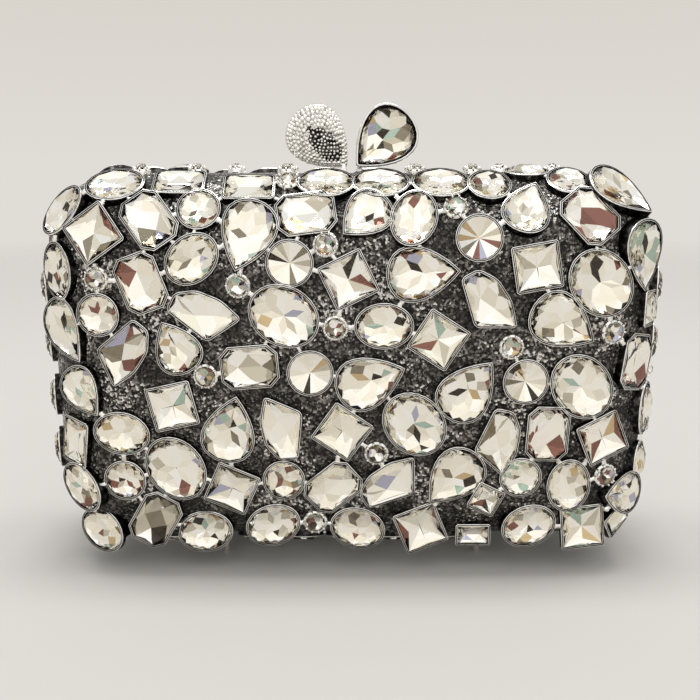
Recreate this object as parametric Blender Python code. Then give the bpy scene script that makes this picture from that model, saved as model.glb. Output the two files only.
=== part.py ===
"""Evening clutch: two stone-set shells, hinged along the bottom edge and closed by a kiss lock.

The origin is on the surface that the clutch stands on, under the middle of its outline.
+X runs to the right, +Y away from the viewer and +Z up. The two halves are alike: the
rear half is the front half turned half round about Z.
"""
import math

import bmesh
import bpy
from mathutils import Matrix, Vector

# Outline of a shell, without its stones
SHELL_WIDTH = 0.194
SHELL_HEIGHT = 0.121
CORNER_RADIUS = 0.024
SHELL_FOOT_GAP = 0.0065

# How a shell rolls over from its wall to its face
WALL_DEPTH = 0.004
ROLL_INSET = 0.022
ROLL_DEPTH = 0.019
CROWN = 0.004
SHELL_THICKNESS = 0.0012
LINING_THICKNESS = 0.0008

# Metal rim round the mouth of a shell
RIM_DEPTH = 0.0028
RIM_THICKNESS = 0.003

# Clearances, and how far a cutter runs past what it cuts
GAP = 0.0003
OVERRUN = 0.001

# Lengths and widths of the cut stones with their cups
GREAT_OVAL_LENGTH = 0.0225
GREAT_OVAL_WIDTH = 0.0185
OVAL_LENGTH = 0.0182
OVAL_WIDTH = 0.0142
WALL_OVAL_LENGTH = 0.0140
WALL_OVAL_WIDTH = 0.0090
GREAT_PEAR_LENGTH = 0.0224
GREAT_PEAR_WIDTH = 0.0168
PEAR_LENGTH = 0.0176
PEAR_WIDTH = 0.0146
SHIELD_LENGTH = 0.0244
SHIELD_WIDTH = 0.0164
OCTAGON_LENGTH = 0.0180
OCTAGON_WIDTH = 0.0136
BAGUETTE_LENGTH = 0.0160
BAGUETTE_WIDTH = 0.0110
SHORT_BAGUETTE_LENGTH = 0.0115
SHORT_BAGUETTE_WIDTH = 0.0075
SQUARE_SIDE = 0.0144
SMALL_SQUARE_SIDE = 0.0095
ROUND_SIZE = 0.0136
RIVOLI_SIZE = 0.0145
CHATON_SIZE = 0.0082
BEAD_SIZE = 0.0060

# Heights above the shell's surface
CUP_HEIGHT = 0.0016
STONE_HEIGHT = 0.0030
CUP_WALL = 0.0009
POCKET_FLOOR = 0.0003
GIRDLE_HEIGHT = 0.0016
SKIRT = 0.0045

# Kiss lock
PETAL_LENGTH = 0.0233
PETAL_WIDTH = 0.0185
PETAL_TIP_HALF_GAP = 0.0014
PETAL_LIFT = 0.0020
PETAL_LEAN = 46.0
PETAL_WALL = 0.0011
PETAL_DOME = 0.0026
PETAL_LIP = 0.0030
PETAL_FLOOR = 0.0010
PETAL_STONE_TOP = 0.0042
STEM_WIDTH = 0.0022
STEM_DEPTH = 0.0018
STEM_REACH = 0.0055

# Hinges
HINGE_OFFSET = 0.060
KNUCKLE_LENGTH = 0.006
KNUCKLE_RADIUS = 0.0020
PIN_RADIUS = 0.00075
PIN_HEAD_RADIUS = 0.0013
PIN_HEAD_LENGTH = 0.0006
WEB_THICKNESS = 0.0024

# Feet. Each stands a little beyond the middle of the wall stone beside it.
FOOT_STONE_SHARE = 0.33
FOOT_OFFSET = 0.011
FOOT_SETBACK = 0.010
FOOT_RADIUS = 0.0011
FOOT_COLLAR_RADIUS = 0.0019
FOOT_COLLAR_HEIGHT = 0.0008

# Rings for a strap, on lugs inside the rear rim
RING_RADIUS = 0.0045
RING_WIRE_RADIUS = 0.0006
LUG_HEIGHT = 0.0052
LUG_WIDTH = 0.0036
LUG_THICKNESS = 0.0010
LUG_Z_SHARE = 0.45

# Steps in the meshes
SIDE_STEPS = 2
CORNER_STEPS = 4
TOP_STEPS = 3
ROLL_STEPS = 4
LINING_ROLL_STEPS = 3
CORNER_LEAST_SHARE = 0.12
PLATE_INSET_SHARES = (0.60,)
SPREAD_ROUNDS = 12

HALF_WIDTH = SHELL_WIDTH / 2
HALF_HEIGHT = SHELL_HEIGHT / 2
CENTRE_Z = SHELL_FOOT_GAP + HALF_HEIGHT
RIM_FRONT = GAP / 2 + RIM_DEPTH
SHELL_MOUTH = RIM_FRONT + GAP
HINGE_Z = SHELL_FOOT_GAP - GAP - KNUCKLE_RADIUS
BORE_RADIUS = PIN_RADIUS + GAP

# Outline of the cut with one rounded side, in shares of its half length and half width
SHIELD_OUTLINE_SHARES = (
    (-0.93, 0.20),
    (-0.70, 0.86),
    (-0.15, 0.96),
    (0.46, 0.60),
    (0.97, -0.12),
    (0.08, -1.00),
)

# The largest stones of a face. Each is a piece of its own in an open cup.
# Cut, place across and up in shares of half the shell, and turn in degrees.
LOOSE_STONE_SHARES = (
    ("great_oval", -0.21, 0.31, -30),
    ("great_oval", 0.77, 0.47, -50),
    ("great_oval", 0.73, -0.06, -50),
    ("great_oval", 0.20, -0.25, -50),
    ("great_oval", -0.57, -0.50, -60),
    ("great_pear", -0.32, 0.70, -108),
    ("great_pear", -0.39, -0.28, 77),
    ("great_pear", 0.22, 0.52, 4),
    ("great_pear", 0.06, -0.02, 21),
    ("great_pear", 0.37, -0.07, 52),
    ("great_pear", 0.66, 0.27, -31),
    ("shield", -0.46, 0.31, 0),
    ("shield", -0.72, 0.12, -102),
    ("shield", -0.22, -0.27, 123),
    ("shield", 0.42, 0.37, -34),
    ("shield", 0.47, -0.35, -75),
    ("shield", 0.13, -0.58, 58),
)

# The other stones of a face and of its rolled edge, cast in one with their cups
SET_STONE_SHARES = (
    ("oval", -0.49, 0.59, 40),
    ("oval", 0.10, 0.26, 0),
    ("oval", 0.19, 0.78, 72),
    ("oval", -0.74, -0.31, -8),
    ("oval", 0.71, -0.60, 90),
    ("great_pear", 0.33, -0.55, -130),
    ("pear", -0.55, 0.15, 117),
    ("pear", 0.04, 0.79, -137),
    ("pear", 0.54, 0.83, 70),
    ("octagon", -0.62, 0.77, -54),
    ("octagon", -0.65, 0.47, -70),
    ("octagon", -0.32, 0.05, 5),
    ("octagon", -0.14, 0.80, 8),
    ("octagon", 0.73, 0.79, -50),
    ("octagon", 0.63, -0.31, 88),
    ("octagon", -0.06, -0.60, 40),
    ("square", -0.79, 0.71, 35),
    ("square", -0.57, -0.16, 13),
    ("square", -0.39, -0.61, -24),
    ("square", -0.01, 0.49, 26),
    ("square", 0.27, 0.19, 57),
    ("square", 0.57, 0.55, 10),
    ("square", -0.03, -0.29, 55),
    ("square", 0.81, -0.34, 24),
    ("small_square", 0.44, -0.67, -27),
    ("round", -0.47, 0.82, 0),
    ("round", -0.79, 0.31, 0),
    ("round", -0.74, -0.57, 0),
    ("round", -0.22, -0.56, 0),
    ("round", 0.55, -0.55, 0),
    ("rivoli", -0.19, 0.57, 0),
    ("rivoli", 0.39, 0.69, 0),
    ("rivoli", -0.13, 0.02, 0),
    ("rivoli", 0.55, -0.03, 0),
    ("chaton", -0.79, 0.49, 0),
    ("chaton", -0.35, 0.46, 0),
    ("chaton", -0.08, 0.66, 0),
    ("chaton", 0.32, 0.83, 0),
    ("chaton", -0.05, 0.25, 0),
    ("chaton", -0.46, 0.00, 0),
    ("chaton", 0.08, -0.41, 0),
    ("chaton", 0.50, 0.15, 0),
    ("chaton", 0.82, 0.22, 0),
    ("chaton", 0.83, -0.55, 0),
    ("chaton", -0.12, -0.80, 0),
    ("oval", -0.92, 0.52, -85),
    ("great_pear", -0.91, 0.21, -52),
    ("pear", -0.86, -0.10, -52),
    ("baguette", -0.90, -0.38, 80),
    ("oval", -0.89, -0.63, -42),
    ("oval", -0.84, -0.88, -20),
    ("octagon", -0.65, -0.79, 60),
    ("oval", -0.49, -0.87, 5),
    ("oval", -0.26, -0.82, 20),
    ("oval", 0.02, -0.84, -15),
    ("square", 0.23, -0.84, 22),
    ("short_baguette", 0.41, -0.90, 0),
    ("oval", 0.59, -0.83, 20),
    ("square", 0.77, -0.84, 5),
    ("short_baguette", 0.89, -0.83, 30),
    ("pear", 0.90, -0.67, 175),
    ("wall_oval", 0.96, -0.52, 90),
    ("oval", 0.97, -0.23, 90),
    ("octagon", 0.91, 0.05, 80),
    ("short_baguette", 0.95, 0.32, 90),
    ("great_pear", 0.91, 0.60, -84),
    ("great_pear", 0.84, 0.90, -40),
    ("oval", -0.90, 0.81, 45),
    ("oval", -0.74, 0.93, 10),
    ("baguette", -0.54, 0.94, 0),
    ("baguette", -0.32, 0.92, 0),
    ("chaton", -0.20, 0.95, 0),
    ("oval", -0.08, 0.94, 0),
    ("oval", 0.09, 0.94, 0),
    ("oval", 0.28, 0.94, 0),
    ("round", 0.43, 0.93, 0),
    ("round", 0.68, 0.95, 0),
)

# Small stones along the wall beside the rim: cut, place, turn and roll from the wall
WALL_STONE_SHARES = (
    ("bead", -0.68, 1.00, 0),
    ("bead", -0.50, 1.00, 0),
    ("bead", -0.21, 1.00, 0),
    ("bead", 0.21, 1.00, 0),
    ("bead", 0.39, 1.00, 0),
    ("wall_oval", 0.56, 1.00, 0),
    ("wall_oval", -1.00, 0.42, 90),
    ("wall_oval", -1.00, 0.12, 90),
    ("wall_oval", -1.00, -0.18, 90),
    ("wall_oval", -1.00, -0.48, 90),
    ("wall_oval", 1.00, 0.42, 90),
    ("wall_oval", 1.00, 0.12, 90),
    ("wall_oval", 1.00, -0.18, 90),
    ("wall_oval", 1.00, -0.48, 90),
    ("wall_oval", -0.62, -1.00, 0),
    ("wall_oval", -0.33, -1.00, 0),
    ("wall_oval", -0.17, -1.00, 0),
    ("wall_oval", -0.02, -1.00, 0),
    ("wall_oval", 0.15, -1.00, 0),
    ("wall_oval", 0.32, -1.00, 0),
    ("wall_oval", 0.62, -1.00, 0),
)
WALL_STONE_ROLL = 14.0
BEAD_ROLL = 6.0


def clear_scene():
    """Empty the scene of every object."""
    for thing in list(bpy.data.objects):
        bpy.data.objects.remove(thing, do_unlink=True)


def finish(name, colour, roughness, metallic, transmission=0.0):
    """A material with one Principled shader."""
    mat = bpy.data.materials.new(name)
    mat.use_nodes = True
    shader = mat.node_tree.nodes["Principled BSDF"]
    shader.inputs["Base Color"].default_value = (*colour, 1.0)
    shader.inputs["Roughness"].default_value = roughness
    shader.inputs["Metallic"].default_value = metallic
    shader.inputs["Transmission Weight"].default_value = transmission
    return mat


def add_piece(name, mesh, mat, parent, place=None):
    """An object for a mesh, under its body's empty."""
    piece = bpy.data.objects.new(name, mesh)
    bpy.context.collection.objects.link(piece)
    if not mesh.materials:
        mesh.materials.append(mat)
    piece.parent = parent
    if place is not None:
        piece.matrix_local = place
    return piece


def add_body(name, location):
    """An empty on the axis that its pieces turn about."""
    empty = bpy.data.objects.new(name, None)
    bpy.context.collection.objects.link(empty)
    empty.location = location
    return empty


def mesh_of(bm, name):
    """Close a bmesh: merge its doubles, turn its faces outwards and hand over the mesh."""
    bmesh.ops.remove_doubles(bm, verts=bm.verts, dist=GAP / 100)
    bmesh.ops.recalc_face_normals(bm, faces=bm.faces)
    mesh = bpy.data.meshes.new(name)
    bm.to_mesh(mesh)
    bm.free()
    return mesh


def bridge(bm, first, second):
    """Quads between two rings with as many vertices."""
    count = len(first)
    for k in range(count):
        after = (k + 1) % count
        bm.faces.new((first[k], first[after], second[after], second[k]))


def add_loft(bm, loops, cap_start=True, cap_end=True):
    """A lofted skin through rings of points, with flat caps."""
    rings = []
    for loop in loops:
        rings.append([bm.verts.new(point) for point in loop])
    for first, second in zip(rings, rings[1:]):
        bridge(bm, first, second)
    if cap_start:
        bm.faces.new(rings[0])
    if cap_end:
        bm.faces.new(rings[-1])
    return rings


def round_off(mesh, degrees=35.0):
    """Smooth shading with sharp edges kept."""
    mesh.shade_smooth()
    mesh.set_sharp_from_angle(angle=math.radians(degrees))


def outline(inset):
    """Points of the shell's outline, moved in by an inset, from the right side round."""
    half_w = HALF_WIDTH - inset
    half_h = HALF_HEIGHT - inset
    radius = max(CORNER_RADIUS - inset, CORNER_RADIUS * CORNER_LEAST_SHARE)
    radius = min(radius, half_h)
    quarter = []
    for k in range(SIDE_STEPS):
        quarter.append((half_w, (half_h - radius) * k / SIDE_STEPS))
    for k in range(CORNER_STEPS):
        turn = math.pi / 2 * k / CORNER_STEPS
        quarter.append((half_w - radius + radius * math.cos(turn), half_h - radius + radius * math.sin(turn)))
    for k in range(TOP_STEPS):
        quarter.append(((half_w - radius) * (1 - k / TOP_STEPS), half_h))
    half = quarter + [(0.0, half_h)] + [(-x, z) for x, z in reversed(quarter[1:])]
    return half + [(-x, -z) for x, z in half]


def roll(layer, turn):
    """Inset and depth of the rolled edge, a layer's distance inside the shell's surface."""
    inset = layer + (ROLL_INSET - layer) * (1 - math.cos(turn))
    depth = WALL_DEPTH + (ROLL_DEPTH - layer) * math.sin(turn)
    return inset, depth


def crown_at(x, z):
    """How far the face swells at a place."""
    return CROWN * (1 - (x / HALF_WIDTH) ** 2) * (1 - (z / HALF_HEIGHT) ** 2)


def skin_loops(layer, mouth, steps):
    """Rings of a shell's surface from its mouth over the rolled edge to its face."""
    rows = [(layer, mouth)]
    for k in range(steps + 1):
        rows.append(roll(layer, math.pi / 2 * k / steps))
    rest = HALF_HEIGHT - ROLL_INSET
    face_depth = rows[-1][1]
    for share in PLATE_INSET_SHARES:
        rows.append((ROLL_INSET + rest * share, face_depth))
    loops = []
    for inset, depth in rows:
        swell = 0.0 if depth == mouth else 1.0
        loops.append([
            Vector((x, -(depth + swell * crown_at(x, z)), CENTRE_Z + z)) for x, z in outline(inset)
        ])
    return loops


def close_face(bm, ring):
    """Fill the middle of the face with a strip of quads across the last ring."""
    count = len(ring)
    half = count // 2
    bm.faces.new((ring[0], ring[1], ring[count - 1]))
    for k in range(1, half - 1):
        bm.faces.new((ring[k], ring[k + 1], ring[count - k - 1], ring[count - k]))
    bm.faces.new((ring[half - 1], ring[half], ring[half + 1]))


def solid_bowl(layer, mouth, steps, name):
    """The full form of a half, out to a layer of its wall."""
    bm = bmesh.new()
    rings = add_loft(bm, skin_loops(layer, mouth, steps), cap_end=False)
    close_face(bm, rings[-1])
    return mesh_of(bm, name)


def hollow_bowl(layer, thickness, mouth, steps, name):
    """A thin bowl with an open mouth."""
    bm = bmesh.new()
    outer = add_loft(bm, skin_loops(layer, mouth, steps), cap_start=False, cap_end=False)
    inner = add_loft(bm, skin_loops(layer + thickness, mouth, steps), cap_start=False, cap_end=False)
    close_face(bm, outer[-1])
    close_face(bm, inner[-1])
    bridge(bm, outer[0], inner[0])
    return mesh_of(bm, name)


def edge_frame(x, z):
    """Distance inside the shell's outline and the way out of it, at a place on the face."""
    core_w = HALF_WIDTH - CORNER_RADIUS
    core_h = HALF_HEIGHT - CORNER_RADIUS
    over_x = abs(x) - core_w
    over_z = abs(z) - core_h
    if over_x > 0 and over_z > 0:
        reach = math.hypot(over_x, over_z)
        return CORNER_RADIUS - reach, (math.copysign(over_x / reach, x), math.copysign(over_z / reach, z))
    if over_x > over_z:
        return HALF_WIDTH - abs(x), (math.copysign(1.0, x), 0.0)
    return HALF_HEIGHT - abs(z), (0.0, math.copysign(1.0, z))


def seat(x_share, z_share, turn, roll_degrees=None):
    """A stone's frame on the front shell: its own X, Y, and Z out of the surface."""
    x = HALF_WIDTH * x_share
    z = HALF_HEIGHT * z_share
    inset, way = edge_frame(x, z)
    if roll_degrees is not None:
        angle = math.radians(roll_degrees)
        target = roll(0.0, angle)[0]
        x += way[0] * (inset - target)
        z += way[1] * (inset - target)
    else:
        angle = math.acos(max(0.0, 1 - inset / ROLL_INSET))
    depth = WALL_DEPTH + ROLL_DEPTH * math.sin(angle) + crown_at(x, z)
    slope_x = -2 * CROWN * x / HALF_WIDTH ** 2 * (1 - (z / HALF_HEIGHT) ** 2)
    slope_z = -2 * CROWN * z / HALF_HEIGHT ** 2 * (1 - (x / HALF_WIDTH) ** 2)
    rise = ROLL_INSET * math.sin(angle)
    lean = ROLL_DEPTH * math.cos(angle)
    normal = Vector((way[0] * lean - slope_x * rise, -rise, way[1] * lean - slope_z * rise)).normalized()
    tilt = Vector((0, -1, 0)).rotation_difference(normal).to_matrix()
    flat = Matrix(((1, 0, 0), (0, 0, -1), (0, 1, 0)))
    spin = Matrix.Rotation(math.radians(turn), 3, "Z")
    frame = (tilt @ flat @ spin).to_4x4()
    frame.translation = Vector((x, -depth, CENTRE_Z + z))
    return frame


def ellipse_shares(count):
    """Points of a circle of radius one."""
    return [(math.cos(math.tau * k / count), math.sin(math.tau * k / count)) for k in range(count)]


def pear_shares(count):
    """Points of a pear: round at its foot, with its tip at +1."""
    points = []
    for k in range(count):
        turn = math.tau * k / count
        points.append((math.cos(turn), math.sin(turn) * abs(math.sin(turn / 2)) ** 0.9))
    widest = max(z for x, z in points)
    return [(x, z / widest) for x, z in points]


def octagon_shares():
    """Points of a rectangle with cut corners."""
    long_cut, short_cut = 0.68, 0.58
    return [(1, -short_cut), (1, short_cut), (long_cut, 1), (-long_cut, 1),
            (-1, short_cut), (-1, -short_cut), (-long_cut, -1), (long_cut, -1)]


def box_shares():
    """Points of a rectangle."""
    return [(1, -1), (1, 1), (-1, 1), (-1, -1)]


CUTS = {
    "great_oval": (GREAT_OVAL_LENGTH, GREAT_OVAL_WIDTH, ellipse_shares(12)),
    "oval": (OVAL_LENGTH, OVAL_WIDTH, ellipse_shares(8)),
    "wall_oval": (WALL_OVAL_LENGTH, WALL_OVAL_WIDTH, ellipse_shares(6)),
    "great_pear": (GREAT_PEAR_LENGTH, GREAT_PEAR_WIDTH, pear_shares(10)),
    "pear": (PEAR_LENGTH, PEAR_WIDTH, pear_shares(8)),
    "shield": (SHIELD_LENGTH, SHIELD_WIDTH, list(reversed(SHIELD_OUTLINE_SHARES))),
    "octagon": (OCTAGON_LENGTH, OCTAGON_WIDTH, octagon_shares()),
    "baguette": (BAGUETTE_LENGTH, BAGUETTE_WIDTH, box_shares()),
    "short_baguette": (SHORT_BAGUETTE_LENGTH, SHORT_BAGUETTE_WIDTH, box_shares()),
    "square": (SQUARE_SIDE, SQUARE_SIDE, box_shares()),
    "small_square": (SMALL_SQUARE_SIDE, SMALL_SQUARE_SIDE, box_shares()),
    "round": (ROUND_SIZE, ROUND_SIZE, ellipse_shares(8)),
    "rivoli": (RIVOLI_SIZE, RIVOLI_SIZE, ellipse_shares(8)),
    "chaton": (CHATON_SIZE, CHATON_SIZE, ellipse_shares(6)),
    "bead": (BEAD_SIZE, BEAD_SIZE, ellipse_shares(6)),
}


def cut_ring(cut, shrink, height, share=1.0):
    """One level of a cut's outline: its sides drawn in by a length, then by a share."""
    length, width, points = CUTS[cut]
    half_l = (length / 2 - shrink) * share
    half_w = (width / 2 - shrink) * share
    return [Vector((half_l * u, half_w * v, height)) for u, v in points]


def placed(frame, loops):
    """Loops moved into a frame."""
    return [[frame @ point for point in loop] for loop in loops]


def set_stone(bm, frame, cut):
    """A stone in one with its cup: a straight wall, a bevelled crown and a flat table."""
    add_loft(bm, placed(frame, [
        cut_ring(cut, 0.0, -SKIRT),
        cut_ring(cut, 0.0, CUP_HEIGHT),
        cut_ring(cut, CUP_WALL, STONE_HEIGHT, 0.62),
    ]))


def open_cup(bm, frame, cut):
    """The block of an open cup, before its pocket is cut."""
    add_loft(bm, placed(frame, [cut_ring(cut, 0.0, -SKIRT), cut_ring(cut, 0.0, CUP_HEIGHT)]))


def pocket(bm, frame, cut):
    """What is cut from an open cup to take its stone."""
    add_loft(bm, placed(frame, [
        cut_ring(cut, CUP_WALL, POCKET_FLOOR),
        cut_ring(cut, CUP_WALL, STONE_HEIGHT + OVERRUN),
    ]))


def loose_stone(cut, frame, name):
    """A stone on its own: a cut-in foot, a girdle, a crown and a table."""
    seat_in = CUP_WALL + GAP
    bm = bmesh.new()
    add_loft(bm, placed(frame, [
        cut_ring(cut, seat_in, POCKET_FLOOR + GAP, 0.8),
        cut_ring(cut, seat_in, GIRDLE_HEIGHT),
        cut_ring(cut, seat_in, STONE_HEIGHT, 0.62),
    ]))
    return mesh_of(bm, name)


def cutter(name, bm):
    """A hidden body that only shapes another one."""
    mesh = mesh_of(bm, name)
    helper = bpy.data.objects.new(name, mesh)
    bpy.context.collection.objects.link(helper)
    helper.hide_render = True
    helper.display_type = "WIRE"
    return helper


def combine(target, helper, operation, with_self=False):
    """One exact Boolean on an object."""
    step = target.modifiers.new(operation.lower(), "BOOLEAN")
    step.operation = operation
    step.object = helper
    step.solver = "EXACT"
    step.use_self = with_self


def pocket_reach(cut, turn, way):
    """How far a pocket reaches from its middle, in one direction across the face."""
    length, width, points = CUTS[cut]
    angle = way - math.radians(turn)
    half_l = length / 2 - CUP_WALL
    half_w = width / 2 - CUP_WALL
    return half_l * half_w / math.hypot(half_w * math.cos(angle), half_l * math.sin(angle))


def spread_apart(stones):
    """Move loose stones apart until their pockets clear one another."""
    places = [Vector((HALF_WIDTH * x, HALF_HEIGHT * z)) for cut, x, z, turn in stones]
    for repeat in range(SPREAD_ROUNDS):
        for k, (cut, x, z, turn) in enumerate(stones):
            for j in range(k):
                away = places[k] - places[j]
                way = math.atan2(away.y, away.x)
                room = pocket_reach(cut, turn, way) + pocket_reach(stones[j][0], stones[j][3], way) + GAP
                if away.length < room:
                    push = away.normalized() * (room - away.length) / 2
                    places[k] += push
                    places[j] -= push
    return [
        (cut, place.x / HALF_WIDTH, place.y / HALF_HEIGHT, turn)
        for (cut, x, z, turn), place in zip(stones, places)
    ]


def jewelled_shell(loose):
    """Mesh of one shell with its cups and its set stones, hollow inside."""
    behind = SHELL_MOUTH - OVERRUN
    body = bpy.data.objects.new("shell_blank", solid_bowl(0.0, behind, ROLL_STEPS, "shell_blank"))
    bpy.context.collection.objects.link(body)
    settings = bmesh.new()
    for cut, x, z, turn in SET_STONE_SHARES:
        set_stone(settings, seat(x, z, turn), cut)
    for cut, x, z, turn in WALL_STONE_SHARES:
        set_stone(settings, seat(x, z, turn, BEAD_ROLL if cut == "bead" else WALL_STONE_ROLL), cut)
    pockets = bmesh.new()
    for cut, x, z, turn in loose:
        open_cup(settings, seat(x, z, turn), cut)
        pocket(pockets, seat(x, z, turn), cut)
    inside = bmesh.new()
    inside.from_mesh(solid_bowl(SHELL_THICKNESS, behind - OVERRUN, LINING_ROLL_STEPS, "shell_inside"))
    trim = bmesh.new()
    half_w, half_h = SHELL_WIDTH, SHELL_HEIGHT
    corners = [(-half_w, -half_h), (half_w, -half_h), (half_w, half_h), (-half_w, half_h)]
    add_loft(trim, [
        [Vector((x, y, CENTRE_Z + z)) for x, z in corners] for y in (-SHELL_MOUTH, ROLL_DEPTH)
    ])
    helpers = [cutter("settings", settings), cutter("pockets", pockets)]
    helpers += [cutter("inside", inside), cutter("mouth_trim", trim)]
    combine(body, helpers[0], "UNION", with_self=True)
    combine(body, helpers[1], "DIFFERENCE", with_self=True)
    combine(body, helpers[2], "DIFFERENCE")
    combine(body, helpers[3], "DIFFERENCE")
    bpy.context.view_layer.update()
    evaluated = body.evaluated_get(bpy.context.evaluated_depsgraph_get())
    mesh = bpy.data.meshes.new_from_object(evaluated)
    for helper in helpers + [body]:
        bpy.data.objects.remove(helper, do_unlink=True)
    mesh.name = "jewelled_shell"
    mesh.materials.clear()
    return mesh


def rim_mesh():
    """Ring of the front rim, flush with the outline of its shell."""
    outer = outline(0.0)
    inner = outline(RIM_THICKNESS)
    levels = ((outer, GAP / 2), (outer, RIM_FRONT), (inner, RIM_FRONT), (inner, GAP / 2))
    bm = bmesh.new()
    rings = add_loft(bm, [
        [Vector((x, -depth, CENTRE_Z + z)) for x, z in points] for points, depth in levels
    ], cap_start=False, cap_end=False)
    bridge(bm, rings[-1], rings[0])
    mesh = mesh_of(bm, "rim")
    round_off(mesh)
    return mesh


def petal_frame():
    """Frame of the petal with its stone to the front: tip at the origin, axis along X."""
    lean = math.radians(90.0 - PETAL_LEAN)
    along = Vector((math.cos(lean), 0, math.sin(lean)))
    out = Vector((0, -1, 0))
    across = out.cross(along)
    frame = Matrix((along, across, out)).transposed().to_4x4()
    frame.translation = Vector((PETAL_TIP_HALF_GAP, 0, SHELL_FOOT_GAP + SHELL_HEIGHT + PETAL_LIFT))
    return frame


def petal_ring(shrink, height, share=1.0):
    """One level of a petal's pear outline, tip first."""
    half_l = PETAL_LENGTH / 2
    half_w = PETAL_WIDTH / 2
    ring = []
    for u, v in pear_shares(16):
        ring.append(Vector((half_l - (half_l - shrink) * share * u, (half_w - shrink) * share * v, height)))
    return ring


def petal_mesh():
    """A petal of the lock: domed back, a cup for its stone, and a stem down to the rim."""
    frame = petal_frame()
    bm = bmesh.new()
    add_loft(bm, placed(frame, [
        petal_ring(0.0, -PETAL_DOME, 0.30),
        petal_ring(0.0, -PETAL_DOME * 0.78, 0.64),
        petal_ring(0.0, -PETAL_DOME * 0.38, 0.88),
        petal_ring(0.0, PETAL_FLOOR * 0.5),
        petal_ring(0.0, PETAL_LIP),
        petal_ring(PETAL_WALL, PETAL_LIP),
        petal_ring(PETAL_WALL, PETAL_FLOOR),
    ]))
    body = bpy.data.objects.new("petal_blank", mesh_of(bm, "petal_blank"))
    bpy.context.collection.objects.link(body)
    foot_z = SHELL_FOOT_GAP + SHELL_HEIGHT + GAP
    stem_x = PETAL_TIP_HALF_GAP + STEM_WIDTH / 2
    stem_y = GAP / 2 + RIM_DEPTH / 2
    bm = bmesh.new()
    corners = [(-1, -1), (1, -1), (1, 1), (-1, 1)]
    add_loft(bm, [[
        Vector((stem_x + STEM_WIDTH / 2 * u, stem_y + STEM_DEPTH / 2 * v, level)) for u, v in corners
    ] for level in (foot_z, foot_z + STEM_REACH)])
    stem = cutter("stem", bm)
    combine(body, stem, "UNION")
    bpy.context.view_layer.update()
    evaluated = body.evaluated_get(bpy.context.evaluated_depsgraph_get())
    mesh = bpy.data.meshes.new_from_object(evaluated)
    for helper in (stem, body):
        bpy.data.objects.remove(helper, do_unlink=True)
    mesh.name = "petal"
    mesh.materials.clear()
    round_off(mesh)
    return mesh


def petal_stone_mesh():
    """Pear stone in a petal's cup."""
    seat_in = PETAL_WALL + GAP
    bm = bmesh.new()
    add_loft(bm, placed(petal_frame(), [
        petal_ring(seat_in, PETAL_FLOOR + GAP, 0.75),
        petal_ring(seat_in, PETAL_LIP - GAP),
        petal_ring(seat_in, PETAL_STONE_TOP, 0.6),
    ]))
    return mesh_of(bm, "petal_stone")


def ring_of(radius, count, x):
    """A circle about the hinge's axis, at a place along it."""
    return [
        Vector((x, radius * math.cos(math.tau * k / count), radius * math.sin(math.tau * k / count)))
        for k in range(count)
    ]


def leaf_mesh(start, side):
    """A knuckle with its bore and the web that carries it, about the hinge's axis."""
    end = start + KNUCKLE_LENGTH - GAP
    sides = 12
    bm = bmesh.new()
    top = SHELL_FOOT_GAP - GAP - HINGE_Z
    web_in = side * GAP
    web_out = side * (GAP / 2 + WEB_THICKNESS)
    corners = ((web_in, 0.0), (web_out, 0.0), (web_out, top), (web_in, top))
    add_loft(bm, [[Vector((x, y, z)) for y, z in corners] for x in (start, end)])
    body = bpy.data.objects.new("web", mesh_of(bm, "web"))
    bpy.context.collection.objects.link(body)
    barrel = bmesh.new()
    add_loft(barrel, [ring_of(KNUCKLE_RADIUS, sides, start), ring_of(KNUCKLE_RADIUS, sides, end)])
    bore = bmesh.new()
    add_loft(bore, [ring_of(BORE_RADIUS, sides, start - OVERRUN), ring_of(BORE_RADIUS, sides, end + OVERRUN)])
    helpers = [cutter("barrel", barrel), cutter("bore", bore)]
    combine(body, helpers[0], "UNION")
    combine(body, helpers[1], "DIFFERENCE")
    bpy.context.view_layer.update()
    evaluated = body.evaluated_get(bpy.context.evaluated_depsgraph_get())
    mesh = bpy.data.meshes.new_from_object(evaluated)
    for helper in helpers + [body]:
        bpy.data.objects.remove(helper, do_unlink=True)
    mesh.materials.clear()
    round_off(mesh)
    return mesh


def pin_mesh(middle):
    """A hinge pin with a head at each end."""
    reach = KNUCKLE_LENGTH + GAP
    levels = (
        (PIN_HEAD_RADIUS, -reach - PIN_HEAD_LENGTH),
        (PIN_HEAD_RADIUS, -reach),
        (PIN_RADIUS, -reach),
        (PIN_RADIUS, reach),
        (PIN_HEAD_RADIUS, reach),
        (PIN_HEAD_RADIUS, reach + PIN_HEAD_LENGTH),
    )
    bm = bmesh.new()
    add_loft(bm, [ring_of(radius, 10, middle + x) for radius, x in levels])
    mesh = mesh_of(bm, "hinge_pin")
    round_off(mesh)
    return mesh


def foot_top():
    """Height of the shell above a foot, at the foot's rim."""
    turn = math.asin((FOOT_SETBACK - FOOT_COLLAR_RADIUS - WALL_DEPTH) / ROLL_DEPTH)
    return SHELL_FOOT_GAP + roll(0.0, turn)[0] - GAP


def foot_mesh(x, y):
    """A peg with a collar under the shell."""
    top = foot_top()
    levels = (
        (FOOT_RADIUS, 0.0),
        (FOOT_RADIUS, top - FOOT_COLLAR_HEIGHT),
        (FOOT_COLLAR_RADIUS, top - FOOT_COLLAR_HEIGHT),
        (FOOT_COLLAR_RADIUS, top),
    )
    bm = bmesh.new()
    add_loft(bm, [[
        Vector((x + radius * math.cos(math.tau * k / 12), y + radius * math.sin(math.tau * k / 12), z))
        for k in range(12)
    ] for radius, z in levels])
    mesh = mesh_of(bm, "foot")
    round_off(mesh)
    return mesh


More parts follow.
